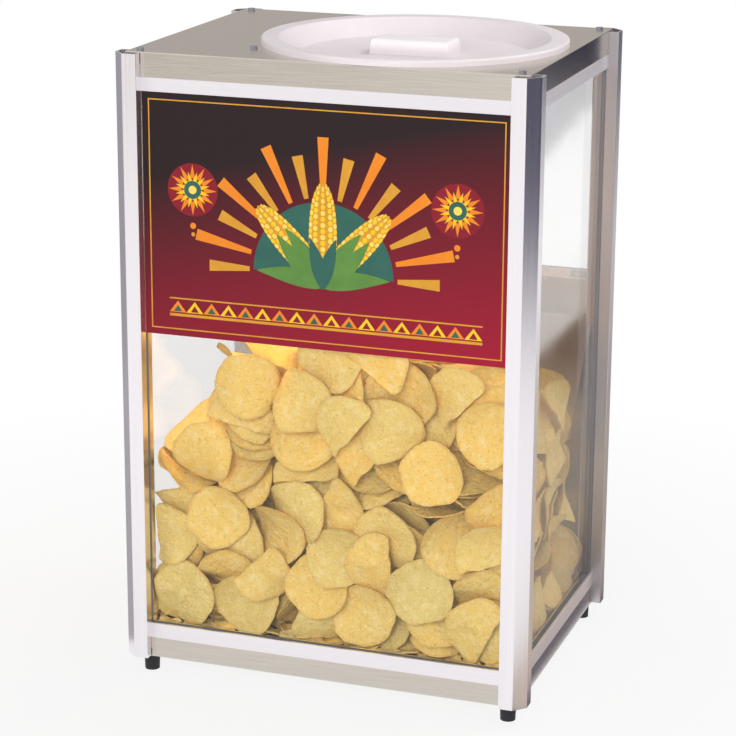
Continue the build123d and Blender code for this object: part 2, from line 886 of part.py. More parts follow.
def fan_rotor():
    """The rotor: a cup over the bearing boss, with pitched blades and an axle."""
    low = post_z + fan_base + fan_running_gap
    top = post_z + fan_height - fan_running_gap
    rotor = rod((0, 0, low), (0, 0, top), fan_hub_radius)
    blade = block(
        (0, fan_bore_radius - fan_tip_gap - fan_running_gap),
        (-fan_blade_wall / 2, fan_blade_wall / 2),
        (-fan_blade_chord / 2, fan_blade_chord / 2),
    )
    for index in range(fan_blades):
        turn = Rot(0, 0, index * 360 / fan_blades)
        rotor += turn * Pos(0, 0, (low + top) / 2) * Rot(fan_blade_pitch, 0, 0) * blade
    rotor -= rod((0, 0, low), (0, 0, top - fan_hub_wall), fan_hub_radius - fan_hub_wall)
    rotor += rod((0, 0, post_z + 2 * sheet), (0, 0, top), fan_axle_radius)
    return Pos(fan_x, fan_y, 0) * rotor


# Heating element, its terminals and the leads


def element_path():
    """The element's centre line: straight runs that turn back at each end."""
    points = []
    for index in range(element_runs):
        x = element_first_x + index * element_run_pitch
        far = element_rear_y if index in (0, element_runs - 1) else element_turn_y
        run = [(x, far), (x, element_front_y)]
        points += run if index % 2 == 0 else run[::-1]
    return [(x, y, element_z) for x, y in points]


def tube(points, radius, bend):
    """A round tube of straight runs and arcs through a list of points."""
    path = FilletPolyline(*points, radius=bend) if len(points) > 2 else Line(*points)
    return sweep(Plane(path @ 0, z_dir=path % 0) * Circle(radius), path=path)


element_ends = (element_path()[0], element_path()[-1])


def heating_element():
    return tube(element_path(), element_radius, element_bend)


def element_pin(end):
    x, y, z = end
    return rod((x, y, z), (x, y + element_pin_length, z), element_pin_radius)


def element_clip(x, y):
    """A forked stand that holds a run of the element off the base."""
    half = clip_width / 2
    stand = block(
        (x - half, x + half), (y - clip_depth / 2, y + clip_depth / 2), (post_z, element_z + element_radius)
    )
    gap = element_radius + clip_clearance
    stand -= rod((x, y - clip_depth, element_z), (x, y + clip_depth, element_z), gap)
    stand -= block((x - gap, x + gap), (y - clip_depth, y + clip_depth), (element_z, element_z + 2 * gap))
    return stand


def limit_switch():
    """The over-temperature cut-out, a disc under the deck."""
    return rod((limit_x, limit_y, deck_z - limit_height), (limit_x, limit_y, deck_z), limit_radius)


def terminal_block():
    """The terminal block, with a pocket over each screw."""
    length, depth, height = terminal_size
    top = post_z + height
    x = terminal_x - length / 2
    y = (terminal_y - depth / 2, terminal_y + depth / 2)
    body = block((x, x + length), y, (post_z, top))
    pitch = length / terminal_ways
    for index in range(terminal_ways):
        spot = x + (index + 0.5) * pitch
        ends = ((spot, terminal_y, top - terminal_pocket_depth), (spot, terminal_y, top))
        body -= rod(*ends, terminal_pocket_radius)
    return body


def wires():
    """Leads between the terminals, the switch, the thermostat, the element and the fan."""
    block_front = terminal_y - terminal_size[1] / 2
    block_rear = terminal_y + terminal_size[1] / 2
    block_right = terminal_x + terminal_size[0] / 2
    switch_face = half_depth - panel_set_back - switch_depth
    thermostat_face = half_depth - flange_inner - thermostat_depth
    first, last = element_ends
    first_pin = first[1] + element_pin_length
    last_pin = last[1] + element_pin_length
    low = post_z + 6
    middle = post_z + 12
    high = post_z + 18
    gather_y = thermostat_face - 10
    lane_y = thermostat_face - 4
    fan_rear = fan_y + fan_size / 2
    turn_x = block_right + 20
    return_x = last[0] - 15
    return [
        [(switch_x - 4, block_rear, middle), (switch_x - 4, switch_face, middle)],
        [(switch_x + 4, block_rear, middle), (switch_x + 4, switch_face, middle)],
        [
            (switch_x + 7, switch_face, high),
            (switch_x + 7, gather_y, high),
            (thermostat_x - 5, gather_y, high),
            (thermostat_x - 5, thermostat_face, high),
        ],
        [
            (thermostat_x + 7, thermostat_face, element_z),
            (thermostat_x + 7, first_pin + 8, element_z),
            (first[0], first_pin + 8, element_z),
            (first[0], first_pin, element_z),
        ],
        [
            (last[0], last_pin, element_z),
            (last[0], last_pin + 10, element_z),
            (return_x, lane_y, low),
            (turn_x, lane_y, low),
            (turn_x, terminal_y, low),
            (block_right, terminal_y, low),
        ],
        [(switch_x + 5, fan_rear, low), (switch_x + 5, block_front, low)],
    ]


def wire(points):
    return tube(points, wire_radius, wire_bend)


# Lamp


def lead_spot():
    """The rear left inside corner, where the lamp's lead runs up."""
    inset = post_size + lead_radius + lead_gap
    return -half_width + inset, half_depth - inset


lamp_x = -half_width + lamp_left + lamp_width / 2
lamp_floor = post_top - lamp_drop
lamp_half = lamp_width / 2
lamp_half_length = lamp_length / 2
# The lampholder rests on the lens
bulb_z = lamp_floor + sheet + lens + holder_radius


def lamp_housing():
    """A trough under the top plate, with two tabs for its screws and a shelf for the lens."""
    x = (lamp_x - lamp_half, lamp_x + lamp_half)
    y = (-lamp_half_length, lamp_half_length)
    under_top = (post_top - sheet, post_top)
    trough = block(x, y, (lamp_floor, post_top))
    trough -= block(
        (x[0] + sheet, x[1] - sheet),
        (y[0] + sheet, y[1] - sheet),
        (lamp_floor + sheet, post_top - sheet),
    )
    trough -= block(
        (x[0] + lamp_shelf, x[1] - lamp_shelf),
        (y[0] + lamp_shelf, y[1] - lamp_shelf),
        (lamp_floor, lamp_floor + sheet),
    )
    half = lamp_tab / 2
    for tab_y in (-lamp_tab_y, lamp_tab_y):
        trough += block((x[1] - sheet, lamp_tab_x + half), (tab_y - half, tab_y + half), under_top)
        hole = [(lamp_tab_x, tab_y, level) for level in under_top]
        trough -= rod(*hole, screw_radius + screw_clearance)
    lead_hole = ((lamp_x, y[1] - sheet, bulb_z), (lamp_x, y[1], bulb_z))
    return trough - rod(*lead_hole, lead_radius + lead_hole_clearance)


def lamp_lens():
    """The frosted lens, on the trough's shelf."""
    half = lamp_half - sheet - lens_gap
    half_y = lamp_half_length - sheet - lens_gap
    z = lamp_floor + sheet
    return block((lamp_x - half, lamp_x + half), (-half_y, half_y), (z, z + lens))


def lamp_holder():
    """The lampholder on the rear end wall of the trough."""
    end = lamp_half_length - sheet
    body = rod((lamp_x, end - holder_length, bulb_z), (lamp_x, end, bulb_z), holder_radius)
    return body - rod((lamp_x, end - 4, bulb_z), (lamp_x, end, bulb_z), lead_radius + lead_hole_clearance)


def lamp_bulb():
    """A tubular bulb in its holder, with rounded ends."""
    rear = lamp_half_length - sheet - holder_length
    front = rear - bulb_length
    bulb = rod((lamp_x, front, bulb_z), (lamp_x, rear, bulb_z), bulb_radius)
    return fillet(bulb.edges().filter_by(GeomType.CIRCLE), bulb_round)


def lamp_screw(y):
    head = rod((lamp_tab_x, y, top_z), (lamp_tab_x, y, top_z + screw_head), screw_head_radius)
    return head + rod((lamp_tab_x, y, top_z), (lamp_tab_x, y, post_top - 5), screw_radius)


def lamp_lead():
    """The lamp's cable: from the terminals up the rear left corner to the trough."""
    x, y = lead_spot()
    block_left = terminal_x - terminal_size[0] / 2
    level = post_z + 8
    points = [
        (block_left, terminal_y, level),
        (block_left - 20, terminal_y, level),
        (x, y - 14, level),
        (x, y, level + 14),
        (x, y, bulb_z),
        (lamp_x, y, bulb_z),
        (lamp_x, lamp_half_length - sheet - 3, bulb_z),
    ]
    return tube(points, lead_radius, lead_bend)


def main():
    os.makedirs("parts", exist_ok=True)
    for name, signs in corners.items():
        save(f"post_{name}", post(*signs))
        save(f"foot_{name}", foot(*ports[name]))
    for side in ("front", "left", "right"):
        rail_piece = rail(side, bottom_rail_z, bottom_rail_height, True, True, bottom_rivet_z)
        save(f"bottom_rail_{side}", rail_piece)
        pane, pane_seal = glazing(side, bottom_rail_top, top_rail_z)
        save(f"{side}_glass", pane)
        save(f"{side}_glass_seal", pane_seal)
    for side in spans:
        save(f"top_rail_{side}", rail(side, top_rail_z, top_rail_height, False, False, top_rivet_z))
    middle = rail("rear", middle_rail_z, middle_rail_height, True, None, middle_rivet_z)
    for x in baffle_rivet_x:
        face = half_depth - rail_inner
        middle -= rod((x, face, baffle_rivet_z), (x, face + rail_web, baffle_rivet_z), rivet_radius)
    save("middle_rail_rear", middle)
    pane, pane_seal = glazing("rear", middle_rail_top, top_rail_z)
    save("rear_glass", pane)
    save("rear_glass_seal", pane_seal)
    save("rail_brackets", *[rail_bracket(*end) for end in rail_ends])
    save("front_sign", sign())
    save("base_pan", base_pan())
    save("top_pan", top_pan())
    save("deck", deck())
    save("baffle", baffle())
    save("rivets", *[rail_rivet(*end) for end in rail_ends], *[baffle_rivet(x) for x in baffle_rivet_x])
    foot_screws = [port_screw(x, y, foot_recess, True) for x, y in ports.values()]
    top_screws = [port_screw(x, y, top_z, False) for x, y in ports.values()]
    save("post_screws", *foot_screws, *top_screws)
    save("lid", lid())
    save("door", door())
    save("door_pull", door_pull())
    save("door_strike", door_strike())
    save("door_magnet", magnet_catch())
    save("hinge_rail_leaves", *[hinge_leaf(x, False) for x in (-hinge_x, hinge_x)])
    save("hinge_door_leaves", *[hinge_leaf(x, True) for x in (-hinge_x, hinge_x)])
    save("hinge_pins", *[hinge_pin(x) for x in (-hinge_x, hinge_x)])
    save("switch_body", switch_body())
    save("switch_rocker", switch_rocker())
    save("pilot_light", pilot_light())
    save("thermostat_body", thermostat_body())
    save("thermostat_knob", thermostat_knob())
    save("cord_bushing", cord_bushing())
    save("fan_frame", fan_frame())
    save("fan_rotor", fan_rotor())
    save("heating_element", heating_element())
    save("element_pins", *[element_pin(end) for end in element_ends])
    clip_spots = [
        (element_first_x + index * element_run_pitch, y)
        for index in range(element_runs)
        for y in (-clip_y, clip_y)
    ]
    save("element_clips", *[element_clip(*spot) for spot in clip_spots])
    save("limit_switch", limit_switch())
    save("terminal_block", terminal_block())
    save("wires", *[wire(points) for points in wires()])
    save("lamp_housing", lamp_housing())
    save("lamp_lens", lamp_lens())
    save("lamp_holder", lamp_holder())
    save("lamp_bulb", lamp_bulb())
    save("lamp_screws", *[lamp_screw(y) for y in (-lamp_tab_y, lamp_tab_y)])
    save("lamp_lead", lamp_lead())


main()
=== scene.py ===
# %% [markdown]
# # A counter-top chip warmer
# The warmer is a glass cabinet on four aluminium corner posts. Chips go in under the round lid, lie on a
# perforated deck over a fan and a heating element, and come out at a flip-up door at the rear.
# The engineering model is loaded as a fixed frame, and everything made here is placed in that frame, in
# metres: X to the right, Y to the rear, Z up, and the origin on the floor in the middle of the cabinet.

# %% Load the frame
import json
import math
import random

import bmesh
import bpy
from mathutils import Euler, Matrix, Vector, noise

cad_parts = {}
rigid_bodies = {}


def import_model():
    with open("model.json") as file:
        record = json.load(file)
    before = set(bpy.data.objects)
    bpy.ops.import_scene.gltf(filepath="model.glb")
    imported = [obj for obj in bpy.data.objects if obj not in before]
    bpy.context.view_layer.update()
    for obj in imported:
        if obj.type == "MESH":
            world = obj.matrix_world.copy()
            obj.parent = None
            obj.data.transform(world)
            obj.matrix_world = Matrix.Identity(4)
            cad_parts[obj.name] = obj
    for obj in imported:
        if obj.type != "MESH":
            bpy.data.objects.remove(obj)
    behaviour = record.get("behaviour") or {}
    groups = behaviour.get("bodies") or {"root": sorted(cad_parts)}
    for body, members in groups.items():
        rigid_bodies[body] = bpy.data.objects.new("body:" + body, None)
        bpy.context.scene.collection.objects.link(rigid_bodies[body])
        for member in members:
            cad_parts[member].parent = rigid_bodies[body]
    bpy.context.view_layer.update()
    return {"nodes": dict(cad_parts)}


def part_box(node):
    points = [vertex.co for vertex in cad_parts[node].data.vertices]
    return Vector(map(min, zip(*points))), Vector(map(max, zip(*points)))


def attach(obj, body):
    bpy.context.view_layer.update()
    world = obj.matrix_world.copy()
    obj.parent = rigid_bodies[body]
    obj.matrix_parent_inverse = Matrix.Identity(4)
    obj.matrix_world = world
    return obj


for leftover in list(bpy.data.objects):
    bpy.data.objects.remove(leftover)
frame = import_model()
mm = 0.001


def add_object(name, data):
    """A new object that shows this data, in the scene."""
    made = bpy.data.objects.new(name, data)
    bpy.context.collection.objects.link(made)
    return made


# %% [markdown]
# A long lens from two and a half metres off keeps the posts nearly parallel, as in a catalogue. The camera
# stands to the right of the front and looks down at the lid, so that the top and the right side both show.

# %% Camera
camera_place = (0.76135, -2.22812, 0.97113)
camera_azimuth = 19.02
camera_elevation = 16.18
camera_roll = 0.33
camera_lens, camera_sensor = 122.02, 36.0  # in mm
camera = add_object("camera", bpy.data.cameras.new("camera"))
camera.data.sensor_width = camera_sensor
camera.data.lens = camera_lens
turn = Matrix.Rotation(math.radians(camera_azimuth), 4, "Z")
tilt = Matrix.Rotation(math.radians(90 - camera_elevation), 4, "X")
roll = Matrix.Rotation(math.radians(camera_roll), 4, "Z")
camera.matrix_world = Matrix.Translation(camera_place) @ turn @ tilt @ roll
bpy.context.scene.camera = camera
bpy.context.scene.view_settings.view_transform = "Standard"
camera_distance = Vector(camera_place).length
image_width = 736  # in pixels
pixel = camera_sensor / camera_lens * camera_distance / image_width
print("the camera is", round(camera_distance, 2), "m off, and a pixel is about", round(pixel / mm, 1), "mm")

# %% [markdown]
# Colours are written as the hex values of a paint chart, which are in sRGB. Blender mixes light, so its
# colours are linear, and one function turns the first into the second. A second function adds a shader
# node: what feeds its inputs is either a plain value or another node's output, and the rest are settings.


# %% Colour and node helpers
def colour(hex_value, alpha=1.0):
    """An sRGB hex value as a linear colour."""
    levels = [int(hex_value[i : i + 2], 16) / 255 for i in (1, 3, 5)]
    return (*[c / 12.92 if c <= 0.04045 else ((c + 0.055) / 1.055) ** 2.4 for c in levels], alpha)


def add_node(tree, kind, inputs=None, **settings):
    """A new node with its inputs fed, by value or by link, and its settings set."""
    made = tree.nodes.new(kind)
    for name, value in settings.items():
        setattr(made, name, value)
    for name, value in (inputs or {}).items():
        if isinstance(value, bpy.types.NodeSocket):
            tree.links.new(value, made.inputs[name])
        else:
            made.inputs[name].default_value = value
    return made


def new_finish(name, **shader_values):
    """A material with one Principled shader. Returns the material, its node tree and the shader."""
    material = bpy.data.materials.new(name)
    material.use_nodes = True
    tree = material.node_tree
    shader = tree.nodes["Principled BSDF"]
    for socket, value in shader_values.items():
        shader.inputs[socket.replace("_", " ")].default_value = value
    return material, tree, shader


print("a mid grey of #808080 is", round(colour("#808080")[0], 3), "in linear light")

# %% [markdown]
# The studio is a white floor that runs on to a white world. A ray that comes from the camera, from a
# reflection or through the glass sees that white at a strength of 1. Rays that only carry light get a
# lower, plain level, so that a colour on the object renders about as it is written.

# %% World
white = (1.0, 1.0, 1.0, 1.0)
ambient_level = 0.47


def seen_directly(tree):
    """1 for rays from the camera, from a reflection or through glass, 0 for rays that carry light."""
    rays = add_node(tree, "ShaderNodeLightPath")
    gloss = add_node(
        tree,
        "ShaderNodeMath",
        {0: rays.outputs["Is Camera Ray"], 1: rays.outputs["Is Glossy Ray"]},
        operation="MAXIMUM",
    )
    both = add_node(
        tree,
        "ShaderNodeMath",
        {0: gloss.outputs[0], 1: rays.outputs["Is Transmission Ray"]},
        operation="MAXIMUM",
    )
    return both.outputs[0]


world = bpy.data.worlds.new("studio")
bpy.context.scene.world = world
world.use_nodes = True
tree = world.node_tree
tree.nodes.clear()
seen = add_node(tree, "ShaderNodeBackground", {"Color": white, "Strength": 1.0})
light = add_node(tree, "ShaderNodeBackground", {"Color": white, "Strength": ambient_level})
mixed = add_node(
    tree, "ShaderNodeMixShader", {0: seen_directly(tree), 1: light.outputs[0], 2: seen.outputs[0]}
)
add_node(tree, "ShaderNodeOutputWorld", {"Surface": mixed.outputs[0]})
print("the world lights the object at a level of", ambient_level)

# %% [markdown]
# The floor is one large square of matt paint. Close to the cabinet, what a ray sees is partly the paint,
# which keeps the cabinet's shadow, and further off it is all white, so that floor and world meet unseen.

# %% Floor
floor_size = 40.0
floor_glow = 0.85
floor_fade_from, floor_fade_to = 0.3, 0.9  # metres from the middle
one_face = [(0, 1, 2, 3)]

floor_mesh = bpy.data.meshes.new("floor")
half = floor_size / 2
floor_corners = [(-half, -half, 0), (half, -half, 0), (half, half, 0), (-half, half, 0)]
floor_mesh.from_pydata(floor_corners, [], one_face)
floor = add_object("floor", floor_mesh)
floor_paint, tree, shader = new_finish(
    "studio_floor_paint", Base_Color=colour("#D2D2D2"), Roughness=0.9, Specular_IOR_Level=0.0
)
glow = add_node(tree, "ShaderNodeEmission", {"Color": white, "Strength": 1.0})
place = add_node(tree, "ShaderNodeTexCoord").outputs["Object"]
away = add_node(tree, "ShaderNodeVectorMath", {0: place}, operation="LENGTH").outputs["Value"]
white_share = add_node(
    tree,
    "ShaderNodeMapRange",
    {
        "Value": away,
        "From Min": floor_fade_from,
        "From Max": floor_fade_to,
        "To Min": floor_glow,
        "To Max": 1.0,
    },
)
share = add_node(
    tree, "ShaderNodeMath", {0: seen_directly(tree), 1: white_share.outputs[0]}, operation="MULTIPLY"
)
mixed = add_node(
    tree, "ShaderNodeMixShader", {0: share.outputs[0], 1: shader.outputs[0], 2: glow.outputs[0]}
)
tree.links.new(mixed.outputs[0], tree.nodes["Material Output"].inputs["Surface"])
floor_mesh.materials.append(floor_paint)
print("the floor is", floor_size, "m wide")

# %% [markdown]
# Three softboxes give the light its direction. A large one close to the camera lights the front, a weak
# one stands to the right, and a small one, behind on the right, lights the top and the lid.


# %% Softboxes
def softbox(name, place, target, size, watts):
    """A square lamp that points at a target and that no reflection shows."""
    lamp = bpy.data.lights.new(name, "AREA")
    lamp.shape = "SQUARE"
    lamp.size = size
    lamp.energy = watts
    holder = add_object(name, lamp)
    holder.location = place
    holder.rotation_euler = (Vector(target) - Vector(place)).to_track_quat("-Z", "Y").to_euler()
    holder.visible_glossy = False


cabinet_middle, top_middle = (0.0, 0.0, 0.3), (0.0, 0.0, 0.6)
softbox("softbox_key", (0.3, -2.5, 1.25), cabinet_middle, 1.3, 41.0)
softbox("softbox_right", (1.9, -0.3, 1.0), cabinet_middle, 1.2, 6.0)
softbox("softbox_top", (1.0, 0.7, 1.7), top_middle, 0.6, 12.5)

# %% [markdown]
# Bright metal shows what stands around it. So, as a product photographer does, cards stand round the
# cabinet and lie on the floor near it, where only reflections see them. Each card fades in along one axis,
# so that a line that it draws ends softly where the real one does.


# %% One card
def card(name, corners, tint, fade_axis, fade_from, fade_to):
    """A card that only reflections see. It fades in along one axis between two places, in metres."""
    mesh = bpy.data.meshes.new(name)
    mesh.from_pydata(corners, [], one_face)
    made = add_object(name, mesh)
    made.visible_camera = made.visible_diffuse = made.visible_transmission = made.visible_shadow = False
    paper = bpy.data.materials.new(name + "_paper")
    paper.use_nodes = True
    tree = paper.node_tree
    tree.nodes.clear()
    place = add_node(tree, "ShaderNodeTexCoord").outputs["Object"]
    along = add_node(tree, "ShaderNodeSeparateXYZ", {0: place}).outputs[fade_axis]
    fade = add_node(
        tree, "ShaderNodeMapRange", {"Value": along, "From Min": fade_from, "From Max": fade_to}
    )
    open_part = add_node(tree, "ShaderNodeBsdfTransparent", {"Color": white})
    glow = add_node(tree, "ShaderNodeEmission", {"Color": colour(tint), "Strength": 1.0})
    mixed = add_node(
        tree, "ShaderNodeMixShader", {0: fade.outputs[0], 1: open_part.outputs[0], 2: glow.outputs[0]}
    )
    add_node(tree, "ShaderNodeOutputMaterial", {"Surface": mixed.outputs[0]})
    mesh.materials.append(paper)


def upright(x1, y1, x2, y2, low, high):
    """The corners of a card that stands over the line between two places."""
    return [(x1, y1, low), (x2, y2, low), (x2, y2, high), (x1, y1, high)]


def lying(x1, y1, x2, y2, height=0.004):
    """The corners of a card that lies a hair above the floor."""
    return [(x1, y1, height), (x2, y1, height), (x2, y2, height), (x1, y2, height)]


print("a card that lies on the floor is", lying(0, 0, 1, 1)[0][2] / mm, "mm above it")

# %% [markdown]
# The near black cards draw the dark lines on the posts' corners and the dark fascia, and the greys keep the
# panes and rails from going white. Each one is written as its corners, in metres, then its colour and the
# axis and stretch over which it fades in.

# %% Cards round the cabinet
cards = {
    "card_right": (upright(1.0, -1.3, 1.3, 1.0, 0.0, 0.75), "#1A1440", "Z", 0.08, 0.25),
    "card_right_tall": (upright(0.55, 0.8, 0.8, 3.4, 0.19, 1.2), "#1C1438", "Z", 0.19, 0.2),
    "card_right_rear": (lying(0.21, 3.0, 4.5, 9.0), "#1C1438", "Y", 3.05, 3.3),
    "card_left": (upright(-1.0, -0.2, -0.9, 1.4, 0.0, 0.75), "#9A969E", "Z", -0.3, 0.1),
    "card_near_right": (lying(0.224, -0.2, 0.75, 1.2), "#BFB2A4", "Y", 1.1, 0.8),
    "card_base_right": (lying(0.203, -0.2, 0.224, 0.3), "#5E586C", "Y", -0.2, -0.19),
    "card_near_left": (lying(-1.0, -0.3, -0.26, 0.6), "#A8A4AA", "Y", -0.3, -0.2),
    "card_rear": (lying(-0.2, 0.6, 0.5, 1.7, 0.003), "#4A443C", "Y", 0.6, 0.8),
    "card_front_left": (lying(-3.5, -6.0, -0.6, -2.4), "#D2CEC4", "X", -0.7, -1.8),
    "card_behind": (upright(-3.0, 3.0, 3.0, 3.0, 0.4, 3.0), "#BDB8B4", "Z", 0.4, 0.8),
}
for name, settings in cards.items():
    card(name, *settings)
print("cards:", len(cards))

# %% [markdown]
# ## Metals
# A finish starts from a pattern, such as a brush's streaks or a mould's grain, at its size in millimetres.
# A pixel of the picture covers about a millimetre, so a pattern that is finer than that on the real surface
# is drawn about a millimetre coarse, or it wouldn't show at all.


# %% Patterns
def drawn_lines(tree, along, line_width, line_length):
    """Noise stretched along one axis, as a die or a brush leaves it."""
    scale = [1 / line_width] * 3
    scale["XYZ".index(along)] = 1 / line_length
    place = add_node(tree, "ShaderNodeTexCoord").outputs["Object"]
    stretched = add_node(tree, "ShaderNodeVectorMath", {0: place, 1: scale}, operation="MULTIPLY")
    noise_in = {"Vector": stretched.outputs[0], "Scale": 1.0, "Detail": 3.0}
    return add_node(tree, "ShaderNodeTexNoise", noise_in).outputs["Fac"]


def grain(tree, size, detail=3.0):
    """Even noise whose blots are about `size` metres across."""
    place = add_node(tree, "ShaderNodeTexCoord").outputs["Object"]
    return add_node(
        tree, "ShaderNodeTexNoise", {"Vector": place, "Scale": 1 / size, "Detail": detail}
    ).outputs["Fac"]


print("a pattern finer than", round(pixel / mm, 1), "mm would not show")

# %% [markdown]
# The same pattern then drives the colour, the roughness and the relief a little, as it does on the real
# surface, so that a streak that stands proud is also a shade lighter and a shade rougher.

# %% What a pattern drives
mix_first, mix_second, mix_out = 6, 7, 2  # the colour sockets of a Mix node


def vary_colour(tree, shader, pattern, low, high):
    """The pattern runs the shader's colour from one hex value to another."""
    blend = add_node(
        tree,
        "ShaderNodeMix",
        {0: pattern, mix_first: colour(low), mix_second: colour(high)},
        data_type="RGBA",
    )
    tree.links.new(blend.outputs[mix_out], shader.inputs["Base Color"])
    return blend.outputs[mix_out]


def vary_roughness(tree, shader, pattern, low, high):
    """The pattern runs the shader's roughness from a low to a high value."""
    spread = add_node(tree, "ShaderNodeMapRange", {"Value": pattern, "To Min": low, "To Max": high})
    tree.links.new(spread.outputs[0], shader.inputs["Roughness"])


def emboss(tree, shader, pattern, height):
    """Bump whose full height is `height` metres."""
    relief = add_node(tree, "ShaderNodeBump", {"Height": pattern, "Distance": height, "Strength": 1.0})
    tree.links.new(relief.outputs[0], shader.inputs["Normal"])


print("a Mix node takes colours at", mix_first, "and", mix_second, "and gives one at", mix_out)

# %% [markdown]
# The posts and rails are anodised aluminium extrusions. The die leaves faint lines along the length, and
# etching before anodising makes them satin: a soft, bright grey with a slightly cool cast. Die lines are
# about 0.2 mm apart, which is finer than a pixel here, so they are drawn about 1 mm wide.

# %% Anodised aluminium
die_line, die_run = 1.2 * mm, 250 * mm
line_relief = 0.02 * mm


def anodised_aluminium(name, along, satin, low="#F2ECF1", high="#FDF9FC"):
    """Aluminium with its die lines along one axis. `satin` is the span of its roughness."""
    material, tree, shader = new_finish("anodised_aluminium_" + name, Metallic=0.96)
    lines = drawn_lines(tree, along, die_line, die_run)
    vary_colour(tree, shader, lines, low, high)
    vary_roughness(tree, shader, lines, *satin)
    emboss(tree, shader, lines, line_relief)
    return material


print("die lines are drawn", round(die_line / mm, 1), "mm wide")

# %% [markdown]
# The top, the fascias, the deck, the baffle and the door are folded from brushed stainless sheet. Brushing
# leaves streaks a few centimetres long in one direction, which spread a reflection across them. They are
# about 0.1 mm wide, and drawn 0.8 mm wide so that they show. Stainless is a darker and warmer grey than
# aluminium.

# %% Brushed stainless
brush_line, brush_run = 0.8 * mm, 40 * mm


def brushed_stainless(along, low="#C5BEB4", high="#DED7CE"):
    """Stainless sheet brushed along one axis."""
    material, tree, shader = new_finish("brushed_stainless_" + along, Metallic=1.0)
    lines = drawn_lines(tree, along, brush_line, brush_run)
    vary_colour(tree, shader, lines, low, high)
    vary_roughness(tree, shader, lines, 0.16, 0.26)
    emboss(tree, shader, lines, line_relief)
    return material


print("brush streaks are drawn", round(brush_line / mm, 1), "mm wide")

# %% [markdown]
# Small hardware: screws and pins are zinc-plated steel, rivets are bright aluminium, brackets, clips and
# the strike are galvanised sheet with its faint crystal spangle, and the heating element's steel sheath
# has gone straw and blue with heat.

# %% Hardware metals
zinc_plated_steel, tree, shader = new_finish("zinc_plated_steel", Metallic=1.0)
plating = grain(tree, 1.5 * mm)
vary_colour(tree, shader, plating, "#8F9096", "#B9BABF")
vary_roughness(tree, shader, plating, 0.28, 0.45)
emboss(tree, shader, plating, 0.02 * mm)

bright_aluminium, tree, shader = new_finish("bright_aluminium", Metallic=1.0)
turning = grain(tree, 1.0 * mm)
vary_colour(tree, shader, turning, "#C4C4C8", "#DEDEE2")
vary_roughness(tree, shader, turning, 0.25, 0.4)

spangle_size = 4 * mm
galvanised_sheet, tree, shader = new_finish("galvanised_sheet", Metallic=1.0)
place = add_node(tree, "ShaderNodeTexCoord").outputs["Object"]
crystals = add_node(tree, "ShaderNodeTexVoronoi", {"Vector": place, "Scale": 1 / spangle_size})
spangle = add_node(tree, "ShaderNodeSeparateColor", {0: crystals.outputs["Color"]}).outputs[0]
vary_colour(tree, shader, spangle, "#9A9DA1", "#BEC0C2")
vary_roughness(tree, shader, spangle, 0.35, 0.55)

heat_tinted_sheath, tree, shader = new_finish("heat_tinted_sheath", Metallic=1.0)
tint = grain(tree, 25 * mm, 4.0)
vary_colour(tree, shader, tint, "#4A4C58", "#8A7258")
vary_roughness(tree, shader, grain(tree, 2 * mm), 0.4, 0.6)
hardware_metals = (zinc_plated_steel, bright_aluminium, galvanised_sheet, heat_tinted_sheath)
print("hardware metals:", [metal.name for metal in hardware_metals])

# %% [markdown]
# ## Plastics, rubber and glass
# The lid is moulded in white plastic with a satin mould finish. The feet are black rubber, and the controls
# are black ABS with the fine grain of a textured mould. Phenolic, which takes heat, is a mottled brown
# black. The seals are grey vinyl. All of them come from one function: the colour hardly varies over a few
# centimetres, and the mould's grain breaks up the gloss. The real grain is a few tenths of a millimetre,
# and it is drawn at about one millimetre so that it shows.


# %% Plastics and rubber
def moulded(name, low, high, grain_size, relief, rough_low, rough_high, **shader_values):
    """A moulded finish: a colour that hardly varies, over the mould's fine grain."""
    material, tree, shader = new_finish(name, **shader_values)
    vary_colour(tree, shader, grain(tree, 30 * mm, 2.0), low, high)
    fine = grain(tree, grain_size)
    vary_roughness(tree, shader, fine, rough_low, rough_high)
    emboss(tree, shader, fine, relief)
    return material


white_abs = moulded(
    "moulded_white_plastic", "#E0D7DA", "#EAE1E4", 1.2 * mm, 0.02 * mm, 0.34, 0.46, IOR=1.5
)
black_rubber = moulded("black_rubber", "#191A1E", "#26272C", 0.8 * mm, 0.05 * mm, 0.55, 0.75, IOR=1.52)
black_abs = moulded("textured_black_abs", "#17171A", "#232327", 0.7 * mm, 0.04 * mm, 0.38, 0.52, IOR=1.54)
grey_vinyl = moulded("grey_vinyl", "#8C8A8C", "#A09D9F", 1.5 * mm, 0.02 * mm, 0.4, 0.55, IOR=1.53)
brown_phenolic = moulded("brown_phenolic", "#2A1D17", "#45322A", 1.0 * mm, 0.02 * mm, 0.3, 0.42, IOR=1.6)
silicone_rubber = moulded(
    "silicone_wire_cover", "#C9C3B8", "#DAD5CB", 0.9 * mm, 0.02 * mm, 0.5, 0.6, IOR=1.43
)
steatite_ceramic = moulded(
    "glazed_steatite", "#E6E0D3", "#F1ECE2", 1.5 * mm, 0.02 * mm, 0.15, 0.25, IOR=1.6
)
ferrite = moulded("sintered_ferrite", "#2B2B2D", "#3B3A3B", 1.0 * mm, 0.05 * mm, 0.5, 0.65, IOR=1.8)
red_acrylic = moulded(
    "red_acrylic", "#A31212", "#C01A16", 2.0 * mm, 0.01 * mm, 0.1, 0.2, IOR=1.49, Transmission_Weight=0.4
)
print("materials so far, with those of the floor and the cards:", len(bpy.data.materials))
